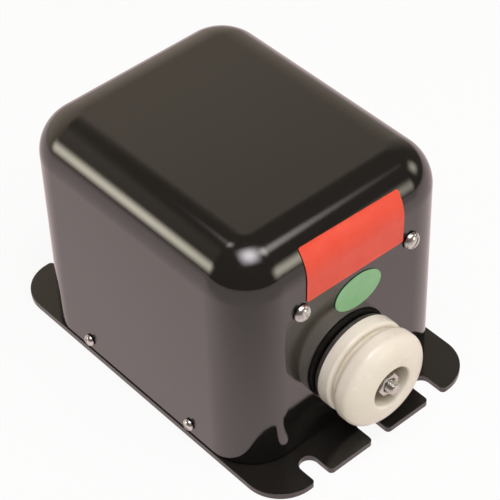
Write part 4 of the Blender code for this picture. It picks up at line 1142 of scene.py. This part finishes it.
def make_floor():
    """White paper to the camera, a painted reflection to glossy paint (tinted, with painted shade far away
    and towards the camera), and a soft shadow left under the case.
    """
    mesh = bpy.data.meshes.new("studio_floor")
    half = FLOOR_SIZE / 2
    mesh.from_pydata([(-half, -half, 0.0), (half, -half, 0.0), (half, half, 0.0), (-half, half, 0.0)],
                     [], [(0, 1, 2, 3)])
    floor = bpy.data.objects.new("studio_floor", mesh)
    bpy.context.scene.collection.objects.link(floor)
    material, tree, shader, place = new_finish("studio_floor_paper", Specular_IOR_Level=0.0, Roughness=1.0)
    tone = use_group(tree, mottle_group, place, Scale=6.0, Low=0.0, High=1.0)
    colour = blend_colours(tree, tone, FLOOR_COLOUR, FLOOR_PALE)
    tree.links.new(colour, shader.inputs["Base Color"])
    ray = tree.nodes.new("ShaderNodeLightPath")
    seen = add_node(tree, "ShaderNodeMath", operation="MAXIMUM")
    tree.links.new(ray.outputs["Is Camera Ray"], seen.inputs[0])
    tree.links.new(ray.outputs["Is Glossy Ray"], seen.inputs[1])
    share = add_node(tree, "ShaderNodeMath", operation="MULTIPLY")
    share.inputs[1].default_value = FLOOR_WHITE_SHARE
    tree.links.new(seen.outputs[0], share.inputs[0])
    # Painted shade on the reflected floor: darker far from the case and towards the camera.
    far = add_node(tree, "ShaderNodeVectorMath", operation="LENGTH")
    tree.links.new(place, far.inputs[0])
    near_camera = add_node(tree, "ShaderNodeVectorMath", operation="DOT_PRODUCT")
    near_camera.inputs[1].default_value = direction(CAMERA_AZIMUTH, 0.0)
    tree.links.new(place, near_camera.inputs[0])
    dim = add_node(tree, "ShaderNodeMath", operation="MAXIMUM")
    for distance, (start, end), socket in ((far, FLOOR_FAR_FADE, dim.inputs[0]),
                                           (near_camera, FLOOR_CAMERA_FADE, dim.inputs[1])):
        fade = add_node(tree, "ShaderNodeMapRange", From_Min=start, From_Max=end)
        tree.links.new(distance.outputs["Value"], fade.inputs["Value"])
        tree.links.new(fade.outputs["Result"], socket)
    mirrored = blend_colours(tree, dim.outputs[0], FLOOR_MIRRORED, FLOOR_MIRRORED_DIM)
    white = add_node(tree, "ShaderNodeEmission", Strength=1.0)
    tree.links.new(blend_colours(tree, ray.outputs["Is Glossy Ray"], FLOOR_WHITE, mirrored),
                   white.inputs["Color"])
    mix = tree.nodes.new("ShaderNodeMixShader")
    tree.links.new(share.outputs[0], mix.inputs[0])
    tree.links.new(shader.outputs[0], mix.inputs[1])
    tree.links.new(white.outputs[0], mix.inputs[2])
    tree.links.new(mix.outputs[0], tree.nodes["Material Output"].inputs["Surface"])
    mesh.materials.append(material)


def make_room():
    """World that is dim all round and glows behind the object."""
    world = bpy.data.worlds.new("studio_room")
    world.use_nodes = True
    tree = world.node_tree
    way = add_node(tree, "ShaderNodeTexCoord").outputs["Generated"]
    towards = add_node(tree, "ShaderNodeVectorMath", operation="DOT_PRODUCT")
    towards.inputs[1].default_value = direction(ROOM_GLOW_AZIMUTH, 0.0)
    tree.links.new(way, towards.inputs[0])
    height = tree.nodes.new("ShaderNodeSeparateXYZ")
    tree.links.new(way, height.inputs[0])
    glow = add_node(tree, "ShaderNodeMath", operation="MULTIPLY")
    for value, (start, end), socket in ((towards.outputs["Value"], ROOM_GLOW_SIDES, glow.inputs[0]),
                                        (height.outputs["Z"], ROOM_GLOW_TOP, glow.inputs[1])):
        fade = add_node(tree, "ShaderNodeMapRange", interpolation_type="SMOOTHSTEP", From_Min=start,
                        From_Max=end)
        tree.links.new(value, fade.inputs["Value"])
        tree.links.new(fade.outputs["Result"], socket)
    colour = blend_colours(tree, glow.outputs[0], ROOM_DIM, ROOM_GLOW)
    tree.links.new(colour, tree.nodes["Background"].inputs["Color"])
    bpy.context.scene.world = world


def make_soft_edges():
    """A soft box's brightness over its own face: full in the middle, fading out to every edge."""
    tree, _, result = new_group("soft_edges", [], [("Strength", "Float")])
    face = tree.nodes.new("ShaderNodeSeparateXYZ")
    tree.links.new(add_node(tree, "ShaderNodeNewGeometry").outputs["Parametric"], face.inputs[0])
    product = add_node(tree, "ShaderNodeMath", operation="MULTIPLY")
    for axis, socket in zip("XY", product.inputs):
        offset = add_node(tree, "ShaderNodeMath", operation="SUBTRACT")
        offset.inputs[1].default_value = 0.5
        tree.links.new(face.outputs[axis], offset.inputs[0])
        reach = add_node(tree, "ShaderNodeMath", operation="ABSOLUTE")
        tree.links.new(offset.outputs[0], reach.inputs[0])
        fade = add_node(tree, "ShaderNodeMapRange", interpolation_type="SMOOTHSTEP", From_Min=0.5,
                        From_Max=0.0)
        tree.links.new(reach.outputs[0], fade.inputs["Value"])
        tree.links.new(fade.outputs["Result"], socket)
    tree.links.new(product.outputs[0], result.inputs["Strength"])
    return tree


def add_soft_box(name, way, distance, width, height, radiance, colour):
    """Rectangular soft box that faces the object; radiance 1 looks white in its middle."""
    data = bpy.data.lights.new(name, "AREA")
    data.shape = "RECTANGLE"
    data.size, data.size_y = width, height
    data.energy = radiance * math.pi * width * height
    data.color = colour
    data.use_nodes = True
    tree = data.node_tree
    edges = tree.nodes.new("ShaderNodeGroup")
    edges.node_tree = soft_edges_group
    tree.links.new(edges.outputs["Strength"], tree.nodes["Emission"].inputs["Strength"])
    lamp = bpy.data.objects.new(name, data)
    lamp.location = LIGHT_AIM + way * distance
    lamp.rotation_euler = way.to_track_quat("Z", "Y").to_euler()
    lamp.visible_camera = False
    bpy.context.scene.collection.objects.link(lamp)
    return lamp


make_floor()
make_room()
soft_edges_group = make_soft_edges()
lamps = {}
for box_name, box_azimuth, box_elevation, box_distance, box_size, box_radiance, box_colour in (
        ("overhead_box", -22.0, 73.6, 0.8, (0.73, 0.73), 8.0, COOL_WHITE),
        ("front_high_box", 43.0, 61.0, 0.9, (0.41, 0.42), 4.8, PLAIN_WHITE),
        ("rear_high_box", -156.0, 65.0, 0.5, (0.16, 0.16), 2.4, PLAIN_WHITE),
        ("left_low_box", -127.0, 13.6, 1.2, (0.72, 0.62), 5.3, WARM_WHITE),
        ("front_low_box", 25.0, 14.8, 1.2, (0.73, 0.72), 3.9, WARM_WHITE),
        ("right_low_box", 64.0, 24.3, 1.2, (0.62, 0.66), 2.7, WARM_WHITE),
        ("fill_box", -20.0, 60.0, 1.5, (1.6, 1.6), 3.6, PLAIN_WHITE)):
    box_way = direction(math.radians(box_azimuth), math.radians(box_elevation))
    lamps[box_name] = add_soft_box(box_name, box_way, box_distance, *box_size, box_radiance, box_colour)
lamps["fill_box"].visible_glossy = False

# Colour as it is written
bpy.context.scene.view_settings.view_transform = "Standard"
